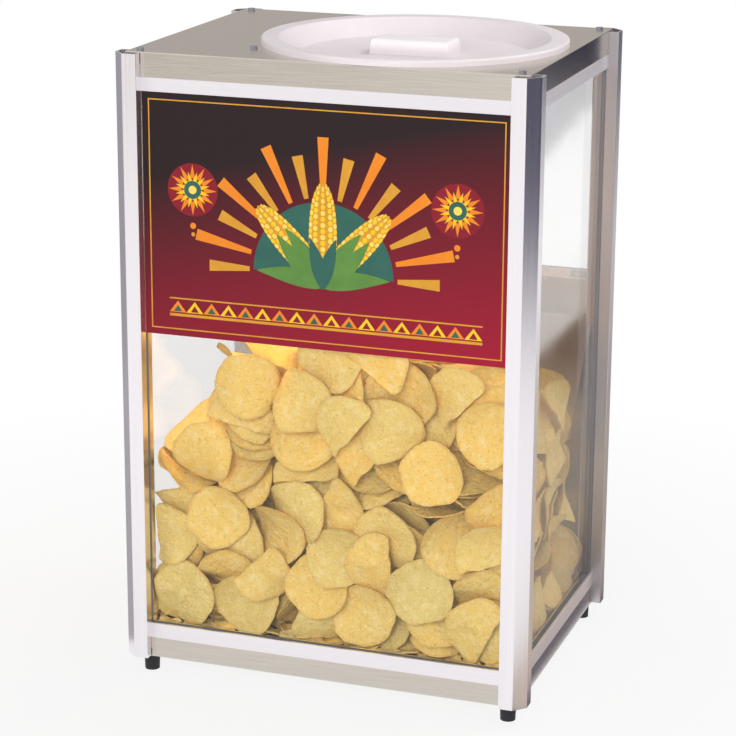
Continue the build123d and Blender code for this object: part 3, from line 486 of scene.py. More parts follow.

# %% [markdown]
# The grip's top gets a painted highlight: a whiter colour that stands in for the light falling on it more
# than on the lid's recessed floor. A mask finds it by its place: within a short distance of the lid's middle,
# seen from above, and a little over the lid's dished floor, where it fades in. Where the mask is 1, a whiter
# colour goes over the lid's own.

# %% The grip's painted highlight
lid_low, lid_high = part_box("lid")
lid_middle = (lid_low + lid_high) / 2
highlight_radius = 46 * mm
highlight_depth, highlight_fade = 12 * mm, 6 * mm  # where it starts, under the rim's top, and how it fades in
highlight_foot = (lid_middle.x, lid_middle.y, lid_high.z - highlight_depth)
tree = white_abs.node_tree
shader = tree.nodes["Principled BSDF"]
place = add_node(tree, "ShaderNodeTexCoord").outputs["Object"]
from_foot = add_node(
    tree, "ShaderNodeVectorMath", {0: place, 1: highlight_foot}, operation="SUBTRACT"
).outputs[0]
parts = add_node(tree, "ShaderNodeSeparateXYZ", {0: from_foot}).outputs
flat = add_node(tree, "ShaderNodeCombineXYZ", {"X": parts["X"], "Y": parts["Y"]}).outputs[0]
out = add_node(tree, "ShaderNodeVectorMath", {0: flat}, operation="LENGTH").outputs["Value"]
near = add_node(tree, "ShaderNodeMath", {0: out, 1: highlight_radius}, operation="LESS_THAN").outputs[0]
high = add_node(
    tree, "ShaderNodeMapRange", {"Value": parts["Z"], "From Min": 0.0, "From Max": highlight_fade}
).outputs[0]
# Where this mask is 1, the grip's top is painted whiter as a highlight.
highlighted = add_node(tree, "ShaderNodeMath", {0: near, 1: high}, operation="MULTIPLY").outputs[0]
below = shader.inputs["Base Color"].links[0].from_socket
highlight_colour = add_node(
    tree,
    "ShaderNodeMix",
    {0: highlighted, mix_first: below, mix_second: colour("#F6F0F2")},
    data_type="RGBA",
).outputs[mix_out]
tree.links.new(highlight_colour, shader.inputs["Base Color"])
print("the grip is rubbed from", round(highlight_foot[2] / mm), "mm up, within", round(highlight_radius / mm), "mm")

# %% [markdown]
# The panes are 4 mm clear float glass. A flat pane hardly bends what is seen through it, so it is made as
# architectural glass: mostly Transparent, with a mirror mixed in that grows as the view grazes the pane.
# Schlick's rule gives that share. Real glass mirrors 4% at each face, seen face on; half of that is used
# here, which keeps the chips clear, and nearly all at the edge. Smears from wiping make the mirror a
# little uneven.

# %% Clear glass
float_glass = bpy.data.materials.new("clear_float_glass")
float_glass.use_nodes = True
tree = float_glass.node_tree
tree.nodes.clear()
schlick_power = 5.0
face_on_share, grazing_share = 0.02, 1.0
grazing = add_node(tree, "ShaderNodeLayerWeight", {"Blend": 0.5}).outputs["Facing"]
steep = add_node(tree, "ShaderNodeMath", {0: grazing, 1: schlick_power}, operation="POWER").outputs[0]
share = add_node(
    tree, "ShaderNodeMapRange", {"Value": steep, "To Min": face_on_share, "To Max": grazing_share}
)
smear_size, smear_roughness = 60 * mm, 0.12
smears = add_node(
    tree,
    "ShaderNodeMapRange",
    {"Value": grain(tree, smear_size, 5.0), "To Min": 0.0, "To Max": smear_roughness},
)
clear = add_node(tree, "ShaderNodeBsdfTransparent", {"Color": colour("#FEFEFE")})
mirror = add_node(tree, "ShaderNodeBsdfGlossy", {"Color": white, "Roughness": smears.outputs[0]})
mixed = add_node(
    tree, "ShaderNodeMixShader", {0: share.outputs[0], 1: clear.outputs[0], 2: mirror.outputs[0]}
)
add_node(tree, "ShaderNodeOutputMaterial", {"Surface": mixed.outputs[0]})
print("a pane mirrors", face_on_share, "of the light at each face, seen face on")

# %% [markdown]
# The lamp's lens is the same glass, acid-etched until it scatters, and the bulb behind it is opal, which is
# white all through. Both glow a little, because the lamp is lit.

# %% Lamp glass
etched_glass, tree, shader = new_finish(
    "acid_etched_glass",
    IOR=1.52,
    Transmission_Weight=0.6,
    Emission_Color=colour("#FFD9A0"),
    Emission_Strength=0.6,
)
etch = grain(tree, 1.0 * mm)
vary_colour(tree, shader, etch, "#F2E6D0", "#FBF2E2")
vary_roughness(tree, shader, etch, 0.5, 0.7)

opal_glass, tree, shader = new_finish(
    "opal_bulb_glass",
    IOR=1.52,
    Roughness=0.2,
    Emission_Color=colour("#FFE0B0"),
    Emission_Strength=1.0,
)
vary_colour(tree, shader, grain(tree, 10 * mm), "#F6EBDA", "#FFF8EC")
print("the lamp's lens and bulb:", etched_glass.name, opal_glass.name)

# %% [markdown]
# ## The sign's panel
# The sign is a printed film. Its ground runs from dark brown at the top to deep red at the bottom, and
# slightly across, as one spray of ink into another. A print has a faint orange-peel gloss, and the vinyl it
# is printed on is white at the back, which lights the inside of the cabinet.

# %% Sign ground
sign_low, sign_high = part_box("front_sign")
fade_slant = -0.227  # how far the fade drops for each step to the right
printed_ground, tree, shader = new_finish("printed_vinyl_ground", IOR=1.5, Specular_IOR_Level=0.15)
place = add_node(tree, "ShaderNodeTexCoord")
parts = add_node(tree, "ShaderNodeSeparateXYZ", {0: place.outputs["Object"]})
across = add_node(tree, "ShaderNodeMath", {0: parts.outputs["X"], 1: fade_slant}, operation="MULTIPLY")
slanted = add_node(tree, "ShaderNodeMath", {0: parts.outputs["Z"], 1: across.outputs[0]}, operation="ADD")
corner = fade_slant * sign_high.x
height = add_node(
    tree,
    "ShaderNodeMapRange",
    {"Value": slanted.outputs[0], "From Min": sign_low.z + corner, "From Max": sign_high.z + corner},
)
facing = add_node(tree, "ShaderNodeSeparateXYZ", {0: place.outputs["Normal"]}).outputs["Y"]
back = add_node(tree, "ShaderNodeMath", {0: facing, 1: 0.5}, operation="GREATER_THAN").outputs[0]
front = vary_colour(tree, shader, height.outputs[0], "#A22036", "#2C2123")
backed = add_node(
    tree,
    "ShaderNodeMix",
    {0: back, mix_first: front, mix_second: colour("#E6E0D8")},
    data_type="RGBA",
).outputs[mix_out]
tree.links.new(backed, shader.inputs["Base Color"])
ink = grain(tree, 0.9 * mm)
vary_roughness(tree, shader, ink, 0.34, 0.46)
emboss(tree, shader, ink, 0.01 * mm)
print("the ground runs over", round((sign_high.z - sign_low.z) / mm), "mm")

# %% [markdown]
# ## The lamp
# A lamp under the top keeps the chips warm, and it is shown lit. Light that has to find its way out through
# a bulb and an etched lens takes very many samples, so a lamp of the lens's own size, just below it, gives
# the heap that light, in the warm colour of the bulb.

# %% The lamp's own light
lamp_watts, lamp_gap = 1.2, 4 * mm
lens_low, lens_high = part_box("lamp_lens")
glow = bpy.data.lights.new("lamp_glow", "AREA")
glow.shape = "RECTANGLE"
glow.size, glow.size_y = lens_high.x - lens_low.x, lens_high.y - lens_low.y
glow.energy = lamp_watts
glow.color = colour("#FFD6A0")[:3]
glow_holder = add_object("lamp_glow", glow)
lens_middle = (lens_low + lens_high) / 2
glow_holder.location = (lens_middle.x, lens_middle.y, lens_low.z - lamp_gap)
glow_holder.visible_glossy = False
print("the lamp's light is", round(glow.size / mm), "by", round(glow.size_y / mm), "mm")

# %% [markdown]
# ## Each part's finish
# Each node of the frame takes the finish of the real part it stands for. Lines run the way the piece was
# drawn or brushed: up the posts, and along each rail. The rear posts are rougher than the front ones, and
# their darker grey is painted shade.

# %% Give every part its finish
posts_finish = anodised_aluminium("posts", "Z", (0.2, 0.3))
# The rear posts are rougher than the front ones, and their darker grey is painted shade.
painted_shade_rear_posts_finish = anodised_aluminium("rear_posts_painted_shade", "Z", (0.28, 0.4), "#C4C0C4", "#D6D2D6")
wide_finish = anodised_aluminium("wide_rails", "X", (0.36, 0.46))
deep_finish = anodised_aluminium("deep_rails", "Y", (0.44, 0.54))
stainless_x = brushed_stainless("X")
stainless_z = brushed_stainless("Z", "#B0A79B", "#C8C0B4")
finish_of_slot = {
    "stainless_sheet": stainless_x,
    "clear_glass": float_glass,
    "seal_vinyl": grey_vinyl,
    "sign_print": printed_ground,
    "lid_plastic": white_abs,
    "foot_rubber": black_rubber,
    "screw_steel": zinc_plated_steel,
    "rivet_aluminium": bright_aluminium,
    "black_plastic": black_abs,
    "magnet_ferrite": ferrite,
    "pilot_red": red_acrylic,
    "phenolic": brown_phenolic,
    "element_sheath": heat_tinted_sheath,
    "galvanised_steel": galvanised_sheet,
    "wire_silicone": silicone_rubber,
    "frosted_lens": etched_glass,
    "bulb_glass": opal_glass,
    "holder_ceramic": steatite_ceramic,
}
for name, part in frame["nodes"].items():
    for slot in part.material_slots:
        kind = slot.material.name.split(".")[0]
        if kind == "anodised_aluminium":
            rail_look = deep_finish if name.endswith(("left", "right")) else wide_finish
            post_look = painted_shade_rear_posts_finish if name.startswith("post_rear") else posts_finish
            slot.material = post_look if name.startswith("post") else rail_look
        elif name in ("door", "baffle"):
            slot.material = stainless_z
        else:
            slot.material = finish_of_slot[kind]
print("parts finished:", len(frame["nodes"]))

# %% [markdown]
# ## The sign's picture
# A sign like this is built up from coloured film, cut to shape and laid on the printed ground. The picture
# is three ears of corn before a rising sun, between two round flowers, over a band of triangles. Every
# colour is one piece made of flat outlines, drawn in millimetres from the middle of the sign, with X to the
# right and Y up. The outlines come from a few shapes: an oval, a leaf and a ring of petals.

# %% Outlines
film = 0.05 * mm
sign_middle = (sign_low + sign_high) / 2
sign_face = sign_low.y


def turned(points, angle, centre=(0, 0)):
    """Points turned clockwise by an angle in degrees about (0, 0), then moved to a centre."""
    c, s = math.cos(math.radians(angle)), math.sin(math.radians(angle))
    return [(centre[0] + x * c + y * s, centre[1] - x * s + y * c) for x, y in points]


def oval(width, height, angle=0, centre=(0, 0), steps=24):
    """A closed ring of points."""
    points = [
        (width / 2 * math.cos(math.tau * i / steps), height / 2 * math.sin(math.tau * i / steps))
        for i in range(steps)
    ]
    return turned(points, angle, centre)


def leaf(length, width, sweep, angle, centre):
    """A pointed leaf that grows up from a centre and sweeps to one side."""
    steps = 14
    left, right = [], []
    for i in range(steps + 1):
        share = i / steps
        spine = sweep * share**2
        half_width = width / 2 * math.sin(math.pi * share**0.8) ** 0.9
        left.append((spine - half_width, length * share))
        right.append((spine + half_width, length * share))
    return turned(left + right[-2:0:-1], angle, centre)


def petals(count, inner, outer, width, centre, first=0.0):
    """Pointed petals in a ring round a centre."""
    return [
        turned([(-width / 2, inner), (0, outer), (width / 2, inner)], first + 360 / count * i, centre)
        for i in range(count)
    ]


print("the sign's face is", round((sign_high.x - sign_low.x) / mm), "mm wide")

# %% [markdown]
# An ear of corn is a rounded cone of kernels in rows. The cone is cut first, in gold, and the kernels are
# laid on it in two yellows, a little apart, so that the gold shows between them as shade.

# %% Ears of corn
ear_length, ear_width = 92.0, 27.0
ear_shoulder = 0.42  # the widest place, as a share of the length
ear_foot = 0.84  # the width at the foot, as a share of the widest
kernel_rows, kernel_columns = 16, 5
kernel_height, kernel_stagger = 5.0, 1.2


def ear_half_width(share):
    """Half the ear's width at a share of its length: a slow swell, then a rounded tip."""
    if share < ear_shoulder:
        return ear_width / 2 * (ear_foot + (1 - ear_foot) * share / ear_shoulder)
    beyond = (share - ear_shoulder) / (1 - ear_shoulder)
    return ear_width / 2 * math.sqrt(max(0.0, 1 - beyond**2.4))


def ear(angle, centre):
    """The cone's outline and its kernels, in two lists that take turns."""
    steps = 22
    side = [(ear_half_width(i / steps), ear_length * i / steps) for i in range(steps + 1)]
    cone = side + [(-x, y) for x, y in side[-2::-1]]
    kernels = ([], [])
    for row in range(kernel_rows):
        share = (row + 0.6) / (kernel_rows + 0.4)
        span = ear_half_width(share) * 2 * 0.94
        for column in range(kernel_columns):
            bulge = math.sin((column + 0.5) / kernel_columns * math.pi)
            across = -math.cos((column + 0.5) / kernel_columns * math.pi) * span / 2
            width = span / kernel_columns * (0.62 + 0.5 * bulge)
            height = ear_length * share + (kernel_stagger if column % 2 else -kernel_stagger)
            place = turned([(across, height)], angle, centre)[0]
            kernels[(row + column) % 2].append(oval(width * 0.88, kernel_height, angle, place, 10))
    return turned(cone, angle, centre), kernels


print("one ear has", sum(len(tint) for tint in ear(0, (0, 0))[1]), "kernels")

# %% [markdown]
# The sun is half a disc with rays in two colours and two lengths. The ears stand in front of it with their
# husks at the foot. Each outline is kept with its level: 1 lies on the ground, and a higher one on top.

# %% Sun, ears and husks
shapes = {name: [] for name in ("teal", "green", "orange", "gold", "yellow", "pale", "red")}
sun_middle, sun_radius, sun_steps = (0.0, -44.0), 68, 40
ray_count, ray_gap = 15, 12.86  # the gap is in degrees
ray_root, ray_reaches = 72, (112, 128)
ray_root_width, ray_tip_width = 4.4, 10.8
for number in range(ray_count):
    reach = ray_reaches[number % 2]
    root, tip = ray_root_width / 2, ray_tip_width / 2
    ray = [(-root, ray_root), (-tip, reach), (tip, reach), (root, ray_root)]
    tint = "orange" if number % 2 else "gold"
    shapes[tint].append((1, turned(ray, ray_gap * number - 90, sun_middle)))
arc = [math.pi * i / sun_steps for i in range(sun_steps + 1)]
disc = [(sun_middle[0] + sun_radius * math.cos(a), sun_middle[1] + sun_radius * math.sin(a)) for a in arc]
shapes["teal"].append((1, disc))

ears_foot, husk_foot, leaf_foot = (0.0, -50.0), (0.0, -56.0), (0.0, -58.0)
for level, angle in ((2, -44), (4, 44), (6, 0)):
    cone, (light_kernels, deep_kernels) = ear(angle, ears_foot)
    shapes["gold"].append((level, cone))
    shapes["yellow"] += [(level + 1, kernel) for kernel in light_kernels]
    shapes["pale"] += [(level + 1, kernel) for kernel in deep_kernels]
husk_size, leaf_size = (64, 17), (50, 14)  # length and width
husks = ((-16, -66), (16, 66), (-12, -24), (12, 24), (9, -52), (-9, 52))  # sweep and angle
for level, (sweep, angle) in enumerate(husks, 8):
    shapes["green"].append((level, leaf(*husk_size, sweep, angle, husk_foot)))
for level, (sweep, angle) in enumerate(((-6, -8), (6, 8)), 14):
    shapes["teal"].append((level, leaf(*leaf_size, sweep, angle, leaf_foot)))
print("rays, ears and husks:", ray_count, 3, len(husks))

# %% [markdown]
# A flower stands on each side: rings of petals round a button, over two small dots.

# %% Flowers
flower_x, flower_y, petal_count = 128.0, 26.0, 12
flower_size, button_size, eye_size = 50, 17, 8
dots = (("orange", 6, 34), ("gold", 4, 42))  # colour, size and how far under the flower's middle


def disc_at(size, centre, steps):
    """A round outline."""
    return oval(size, size, 0, centre, steps)


for side in (-1, 1):
    centre = (side * flower_x, flower_y)
    shapes["red"].append((1, disc_at(flower_size, centre, 40)))
    shapes["orange"] += [(2, petal) for petal in petals(petal_count, 11, 24, 5.6, centre)]
    shapes["yellow"] += [(3, petal) for petal in petals(petal_count, 8, 17.5, 4.1, centre, 15.0)]
    shapes["teal"].append((4, disc_at(button_size, centre, 28)))
    shapes["pale"].append((5, disc_at(eye_size, centre, 20)))
    for tint, size, drop_below in dots:
        spot = (side * flower_x, flower_y - drop_below)
        shapes[tint].append((1, disc_at(size, spot, 16)))
print("petals in each ring:", petal_count)

# %% [markdown]
# The band under the picture is a row of triangles between two lines, as on woven cloth, and a thin line
# runs round the sign inside its edge.


# %% Band and border
def bar(x1, y1, x2, y2):
    """A rectangle between two opposite corners."""
    return [(x1, y1), (x2, y1), (x2, y2), (x1, y2)]


def triangle(left, right, foot, top):
    """A triangle with a level foot and its point over the middle."""
    return [(left, foot), ((left + right) / 2, top), (right, foot)]


band_low, band_high = -96.0, -78.0
tooth, teeth = 17.0, 18
tooth_rim = 4.4  # how much narrower the inner triangle is, at each side
low_line, high_line = 2.6, 1.4
edge_x = teeth * tooth / 2
for number in range(teeth):
    left = number * tooth - edge_x
    right = left + tooth
    outer = triangle(left, right, band_low + 4, band_high - 3)
    inner = triangle(left + tooth_rim, right - tooth_rim, band_low + 4.8, band_high - 7)
    shapes["yellow" if number % 2 else "orange"].append((1, outer))
    shapes["red" if number % 2 else "teal"].append((2, inner))
shapes["gold"].append((1, bar(-edge_x, band_low, edge_x, band_low + low_line)))
shapes["gold"].append((1, bar(-edge_x, band_high - high_line, edge_x, band_high)))
inset, line = 6.0, 1.2
wide = (sign_high.x - sign_low.x) / mm / 2 - inset
tall = (sign_high.z - sign_low.z) / mm / 2 - inset
for low in (-tall, tall - line):
    shapes["gold"].append((1, bar(-wide, low, wide, low + line)))
for left in (-wide, wide - line):
    shapes["gold"].append((1, bar(left, -tall + line, left + line, tall - line)))
print("outlines:", {name: len(outlines) for name, outlines in shapes.items()})

# %% [markdown]
# Each outline becomes a thin closed slab on the sign's face, a little thicker for a film that lies on top.
# Cut vinyl film is coloured right through and has a soft gloss.

# %% Lay the film
film_colours = {
    "teal": ("#2C5A50", "#3A6A5E"),
    "green": ("#4F7A3C", "#6B9648"),
    "orange": ("#E07A22", "#F4942E"),
    "gold": ("#C98A2C", "#E2A53C"),
    "yellow": ("#F0BE22", "#F6CE34"),
    "pale": ("#F4D050", "#FADC74"),
    "red": ("#7E1A26", "#8E2030"),
}
for name, outlines in shapes.items():
    mesh = bpy.data.meshes.new("sign_film_" + name)
    shape = bmesh.new()
    for level, outline in outlines:
        root, face = [
            [
                shape.verts.new((sign_middle.x + x * mm, sign_face - depth, sign_middle.z + y * mm))
                for x, y in outline
            ]
            for depth in (0, level * film)
        ]
        shape.faces.new(face)
        shape.faces.new(root[::-1])
        for i in range(len(outline)):
            shape.faces.new((root[i - 1], root[i], face[i], face[i - 1]))
    bmesh.ops.recalc_face_normals(shape, faces=shape.faces)
    shape.to_mesh(mesh)
    shape.free()
    ink, tree, shader = new_finish("cut_vinyl_film_" + name, IOR=1.5, Specular_IOR_Level=0.25)
    vary_colour(tree, shader, grain(tree, 14 * mm), *film_colours[name])
    vary_roughness(tree, shader, grain(tree, 0.9 * mm), 0.34, 0.46)
    mesh.materials.append(ink)
    piece = add_object("sign_film_" + name, mesh)
    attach(piece, "cabinet")
print("film colours laid:", len(shapes))

# %% [markdown]
# The thermostat at the back needs a scale to be set by: marks screen-printed on the sheet round its knob,
# with longer ones at both ends and in the middle. The ink stands only a hair above the metal.

# %% Scale round the thermostat knob
knob_low, knob_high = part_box("thermostat_knob")
scale_middle = (knob_low + knob_high) / 2
scale_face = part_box("base_pan")[1].y
scale_marks, scale_sweep = 11, math.radians(270)
mark_inner, mark_outer, long_mark_outer, mark_width = 13.2 * mm, 14.6 * mm, 15.6 * mm, 0.8 * mm
ink_height, ink_root = 0.08 * mm, 0.05 * mm

shape = bmesh.new()
for mark in range(scale_marks):
    angle = scale_sweep * (mark / (scale_marks - 1) - 0.5)
    out, aside = (math.sin(angle), math.cos(angle)), (math.cos(angle), -math.sin(angle))
    far = long_mark_outer if mark % (scale_marks // 2) == 0 else mark_outer
    corners = []
    for depth in (-ink_root, ink_height):
        for reach, side in ((mark_inner, -0.5), (mark_inner, 0.5), (far, 0.5), (far, -0.5)):
            x = scale_middle.x + out[0] * reach + aside[0] * side * mark_width
            z = scale_middle.z + out[1] * reach + aside[1] * side * mark_width
            corners.append(shape.verts.new((x, scale_face + depth, z)))
    shape.faces.new(corners[:4])
    shape.faces.new(corners[4:])
    for i in range(4):
        before = (i - 1) % 4
        shape.faces.new((corners[before], corners[i], corners[i + 4], corners[before + 4]))
bmesh.ops.recalc_face_normals(shape, faces=shape.faces)
mesh = bpy.data.meshes.new("thermostat_scale")
shape.to_mesh(mesh)
shape.free()
black_ink, tree, shader = new_finish("screen_printed_black_ink", IOR=1.5)
print_grain = grain(tree, 1.0 * mm)
vary_colour(tree, shader, print_grain, "#1B1B1D", "#2A2A2E")
vary_roughness(tree, shader, print_grain, 0.4, 0.6)
mesh.materials.append(black_ink)
piece = add_object("thermostat_scale", mesh)
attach(piece, "cabinet")
print("marks round the knob:", scale_marks)

# %% [markdown]
# ## The chips
# The cabinet is shown full of round corn chips, 60 to 70 mm across. A fried chip is about 1.7 mm thick,
# cups one way and often bends back the other way, and has a slightly ragged outline. Some are folded, and
# others have lost a side. Kinds past the whole chips are small broken bits.

# %% What chips there are
chip_thickness = 1.7 * mm
chip_kinds, bit_kinds = 18, 5
folded_kinds = (2, 4, 9, 11, 14)
broken_kinds = (1, 6, 8, 12, 15, 17)
fold_depth, cup_depth = (11.0, 17.0), (3.0, 10.0)
wavy_edge, ragged_edge = 0.11, 0.04  # shares of the radius
blister_height = 1.6 * mm
fine_rings, fine_segments = 5, 30
coarse_rings, coarse_segments = 2, 12
print("kinds of chip:", chip_kinds, "and of small bit:", bit_kinds)

# %% [markdown]
# One function makes a chip from rings of points round its middle, coarse for the drop and fine for show. A
# point goes out to its ring, less far where the edge wavers or has broken off, and then up or down by the
# cup, the curl, the ripples and the blisters. The same is done for the underside, one thickness lower, and
# a strip of faces closes the rim.


# %% One chip
def chip(kind, rings, segments):
    """Points, faces and how near the rim each point lies (0 to 1) for one kind of chip."""
    pick = random.Random(kind)
    radius = pick.uniform(30.0, 34.5) * mm
    cup = pick.uniform(*(fold_depth if kind in folded_kinds else cup_depth)) * mm
    saddle = pick.uniform(0.5, 4.5) * mm
    curl = pick.uniform(3.0, 19.0) * mm
    ripples = pick.uniform(0.8, 2.4) * mm
    turn, ripple_turn = pick.uniform(0, math.tau), pick.uniform(0, math.tau)
    break_line = pick.uniform(0.0, 0.45) if kind in broken_kinds else 2.0
    if kind >= chip_kinds:
        radius, cup, saddle, curl, break_line = pick.uniform(9, 15) * mm, 1 * mm, 0.0, 0.0, 0.3
    points, rims, faces = [], [], []

    def point(share, angle, side):
        edge = 1 + wavy_edge * noise.noise((1.6 * math.cos(angle), 1.6 * math.sin(angle), kind * 3.1))
        edge += ragged_edge * noise.noise((5 * math.cos(angle), 5 * math.sin(angle), kind * 2.3))
        reach = radius * share * edge
        x, y = reach * math.cos(angle), reach * math.sin(angle)
        x = min(x, radius * (break_line + 0.06 * noise.noise((y * 90, kind, 0.5))))
        u = (x * math.cos(turn) + y * math.sin(turn)) / radius
        v = (y * math.cos(turn) - x * math.sin(turn)) / radius
        ripple = ripples * share * math.sin(3 * angle + ripple_turn)
        blister = blister_height * noise.noise((x * 75, y * 75, kind * 1.7))
        lifted = curl * max(0.0, u * 0.8 + v * 0.6 - 0.35) ** 2
        bend = cup * u * u - saddle * v * v + lifted + ripple + blister
        points.append((x, y, bend + side * chip_thickness / 2))
        rims.append(share)

    for side in (1, -1):
        point(0, 0, side)
        for ring in range(rings):
            for segment in range(segments):
                point((ring + 1) / rings, math.tau * segment / segments, side)
    per_side = 1 + rings * segments
    for side in (0, 1):
        start = side * per_side
        flip = slice(None, None, -1 if side else 1)
        for segment in range(segments):
            ahead = (segment + 1) % segments
            faces.append((start, start + 1 + segment, start + 1 + ahead)[flip])
            for ring in range(rings - 1):
                inner, outer = start + 1 + ring * segments, start + 1 + (ring + 1) * segments
                faces.append((inner + segment, outer + segment, outer + ahead, inner + ahead)[flip])
    top_rim, low_rim = per_side - segments, 2 * per_side - segments
    for segment in range(segments):
        ahead = (segment + 1) % segments
        faces.append((top_rim + segment, low_rim + segment, low_rim + ahead, top_rim + ahead))
    return points, faces, rims


fine_chips = [chip(kind, fine_rings, fine_segments) for kind in range(chip_kinds + bit_kinds)]
print("one fine chip has", len(fine_chips[0][1]), "faces")

# %% [markdown]
# Nobody can place hundreds of chips by hand so that they lean on each other believably, so they are
# dropped. Only the outer layers of the heap can be seen, so a hidden core fills its middle and the chips
# fall into the gap round it. The drop runs ten times larger than life, because the physics engine works
# best with pieces near a metre across, and gravity is raised to suit. Its walls are the glass, the posts,
# the deck, the sill, the door, the baffle and the panel over it.

# %% The bin that the chips fall into
drop_scale = 10.0
wall_gap = 1.2 * mm  # what the engine leaves between a chip and a wall
wall = 60 * mm
deck_top = 46 * mm
sill_top, sill_face = 74 * mm, 136 * mm
rear_face = 139 * mm
lip_y, lip_low, lip_high = 59.5 * mm, 215 * mm, 227 * mm
fold_z = 324 * mm
bin_top = 2.4  # in metres, over the highest chip's start
left_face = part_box("left_glass")[1].x + wall_gap
right_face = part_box("right_glass")[0].x - wall_gap
front_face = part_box("front_glass")[1].y + wall_gap
post_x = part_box("post_front_right")[0].x - wall_gap
post_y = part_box("post_front_right")[1].y + wall_gap


def slab(x, y, z):
    """The eight corners of a block between two places on each axis."""
    return [(a, b, c) for a in x for b in y for c in z]


wide = (left_face - wall, right_face + wall)
long = (front_face - wall, rear_face + wall)
bin_walls = {
    "deck": slab(wide, long, (deck_top - wall, deck_top)),
    "front": slab(wide, (front_face - wall, front_face), (0, bin_top)),
    "left": slab((left_face - wall, left_face), long, (0, bin_top)),
    "right": slab((right_face, right_face + wall), long, (0, bin_top)),
    "post_left": slab((left_face - wall, -post_x), (front_face - wall, post_y), (0, bin_top)),
    "post_right": slab((post_x, right_face + wall), (front_face - wall, post_y), (0, bin_top)),
    "door": slab(wide, (rear_face, rear_face + wall), (0, lip_low)),
    "sill": slab(wide, (sill_face, rear_face + wall), (0, sill_top)),
    "over_lip": slab(wide, (rear_face, rear_face + wall), (lip_low, bin_top)),
    "baffle": [
        (x, y, z)
        for x in wide
        for y, z in ((lip_y, lip_low), (lip_y, lip_high), (rear_face, fold_z), (rear_face, lip_low))
    ],
    "core": [
        *slab((-128 * mm, 130 * mm), (-92 * mm, 92 * mm), (deck_top, 60 * mm)),
        *slab((-112 * mm, 120 * mm), (-82 * mm, 52 * mm), (150 * mm, 190 * mm)),
        *slab((-24 * mm, 88 * mm), (-50 * mm, 20 * mm), (276 * mm, 286 * mm)),
    ],
}
print("inside the glass:", round((right_face - left_face) / mm), "mm wide")

# %% [markdown]
# The heap is highest right of the middle and falls away to the left, where less was poured. After the
# drop, chips that lie above this line are taken off, which gives the heap its shape. The line is a list of
# places across and heights, in millimetres, at the front glass. Behind the baffle it falls to the rear.

# %% The heap's line
line_slack = 4 * mm
heap_profile = [
    (-190, 196), (-177, 212), (-146, 256), (-120, 306), (-84, 334), (-40, 352),
    (20, 368), (80, 362), (130, 340), (178, 305), (190, 295),
]
heap_fall = 0.12
rear_heap_top, rear_heap_fall = 178 * mm, 1.1


def top_of(kind, place):
    """The highest point of a chip: an upright one stands its whole radius over its middle."""
    tilt = math.sqrt(max(0.0, 1 - place[2][2] ** 2))
    return place.translation.z + tilt * max(x for x, y, z in fine_chips[kind][0])


def heap_line(x, y):
    """The height that the heap may reach over a place in the bin."""
    if y > lip_y:
        return rear_heap_top - rear_heap_fall * (y - lip_y)
    across = x / mm
    for (x1, z1), (x2, z2) in zip(heap_profile, heap_profile[1:]):
        if across <= x2:
            break
    share = (across - x1) / (x2 - x1)
    return (z1 + share * (z2 - z1)) * mm - heap_fall * (y - front_face)


print("the heap is", round(heap_line(0.02, front_face) / mm), "mm high at the front glass")

# %% [markdown]
# The chips start in loose columns over the gap: upright along the glass, at all angles over the core, and
# in close rows in the space behind the baffle. Small broken bits start lowest. The columns are a little
# further apart than a chip is wide, so that they fall freely.

# %% Columns, rows and gaps
draw = random.Random(21)
upright_turn = math.pi / 2
first_bit, bit_gap, bit_row_gap = (-168, -130, 56), 21, 16  # all these places and gaps are in mm
columns, column_gap = 5, 73
front_row, row_gap = -126, 29
low_layer, layer_gap = 90, 74
side_row, side_column, side_column_gap = 170, -52, 72
rear_row, rear_row_gap, rear_layer, rear_layer_gap = 67, 12.5, 84, 66
loose_gap, loose_layer_gap = 76, 36
loose_blocks = (  # how many layers, columns and rows of loose chips, and where the first one starts
    (27, 3, 2, (-62, -78, 360)),  # over the core
    (20, 4, 1, (-94, 88, 370)),  # over the baffle
)
starts = []  # the place of each chip's middle and its turn


def about(middle, spread):
    """A number drawn at random from a middle, give or take a spread."""
    return draw.uniform(middle - spread, middle + spread)


def tumble(spreads, base=(0, 0, 0)):
    """A turn that is off its base by up to a spread about each axis, in radians."""
    return Euler([angle + about(0, spread) for angle, spread in zip(base, spreads)])


def column_x(column):
    """Where a column of chips stands, counted from the left glass."""
    return column_gap * (column - columns // 2)


print("columns of chips, in mm:", [column_x(column) for column in range(columns)])

# %% [markdown]
# Each place and turn is then a little off, by draws from one seeded generator, so that the same chips start
# in the same places each time.

# %% Starting places
for row in range(3):  # small bits, in the gap in front of the core
    for column in range(17):
        spin = tumble((0.5, 0.5, 3))
        x, z = about(first_bit[0] + bit_gap * column, 3), about(first_bit[2], 2)
        starts.append(((x, first_bit[1] + bit_row_gap * row, z), spin))
bits = len(starts)
for layer in range(16):  # two rows along the front glass, and more of them lean higher up
    for column in range(columns):
        for row in range(2):
            leaning = draw.random() < 0.3 + 0.03 * layer
            lean = about(0, 0.6 if leaning else 0.12)
            x = about(column_x(column), 3)
            spin = Euler((upright_turn + lean, about(0, 0.4), about(0, 0.15) + draw.choice((0, math.pi))))
            starts.append(((x, front_row + row_gap * row, low_layer + layer_gap * layer), spin))
for side in (-1, 1):  # two rows along each side glass
    for layer in range(11):
        for column in range(2):
            for row in range(2):
                spin = tumble((0.2, 0.2, 0.2), (0, upright_turn, 0))
                x, y = side * (side_row - row_gap * row), side_column + side_column_gap * column
                starts.append(((x, y, low_layer + layer_gap * layer), spin))
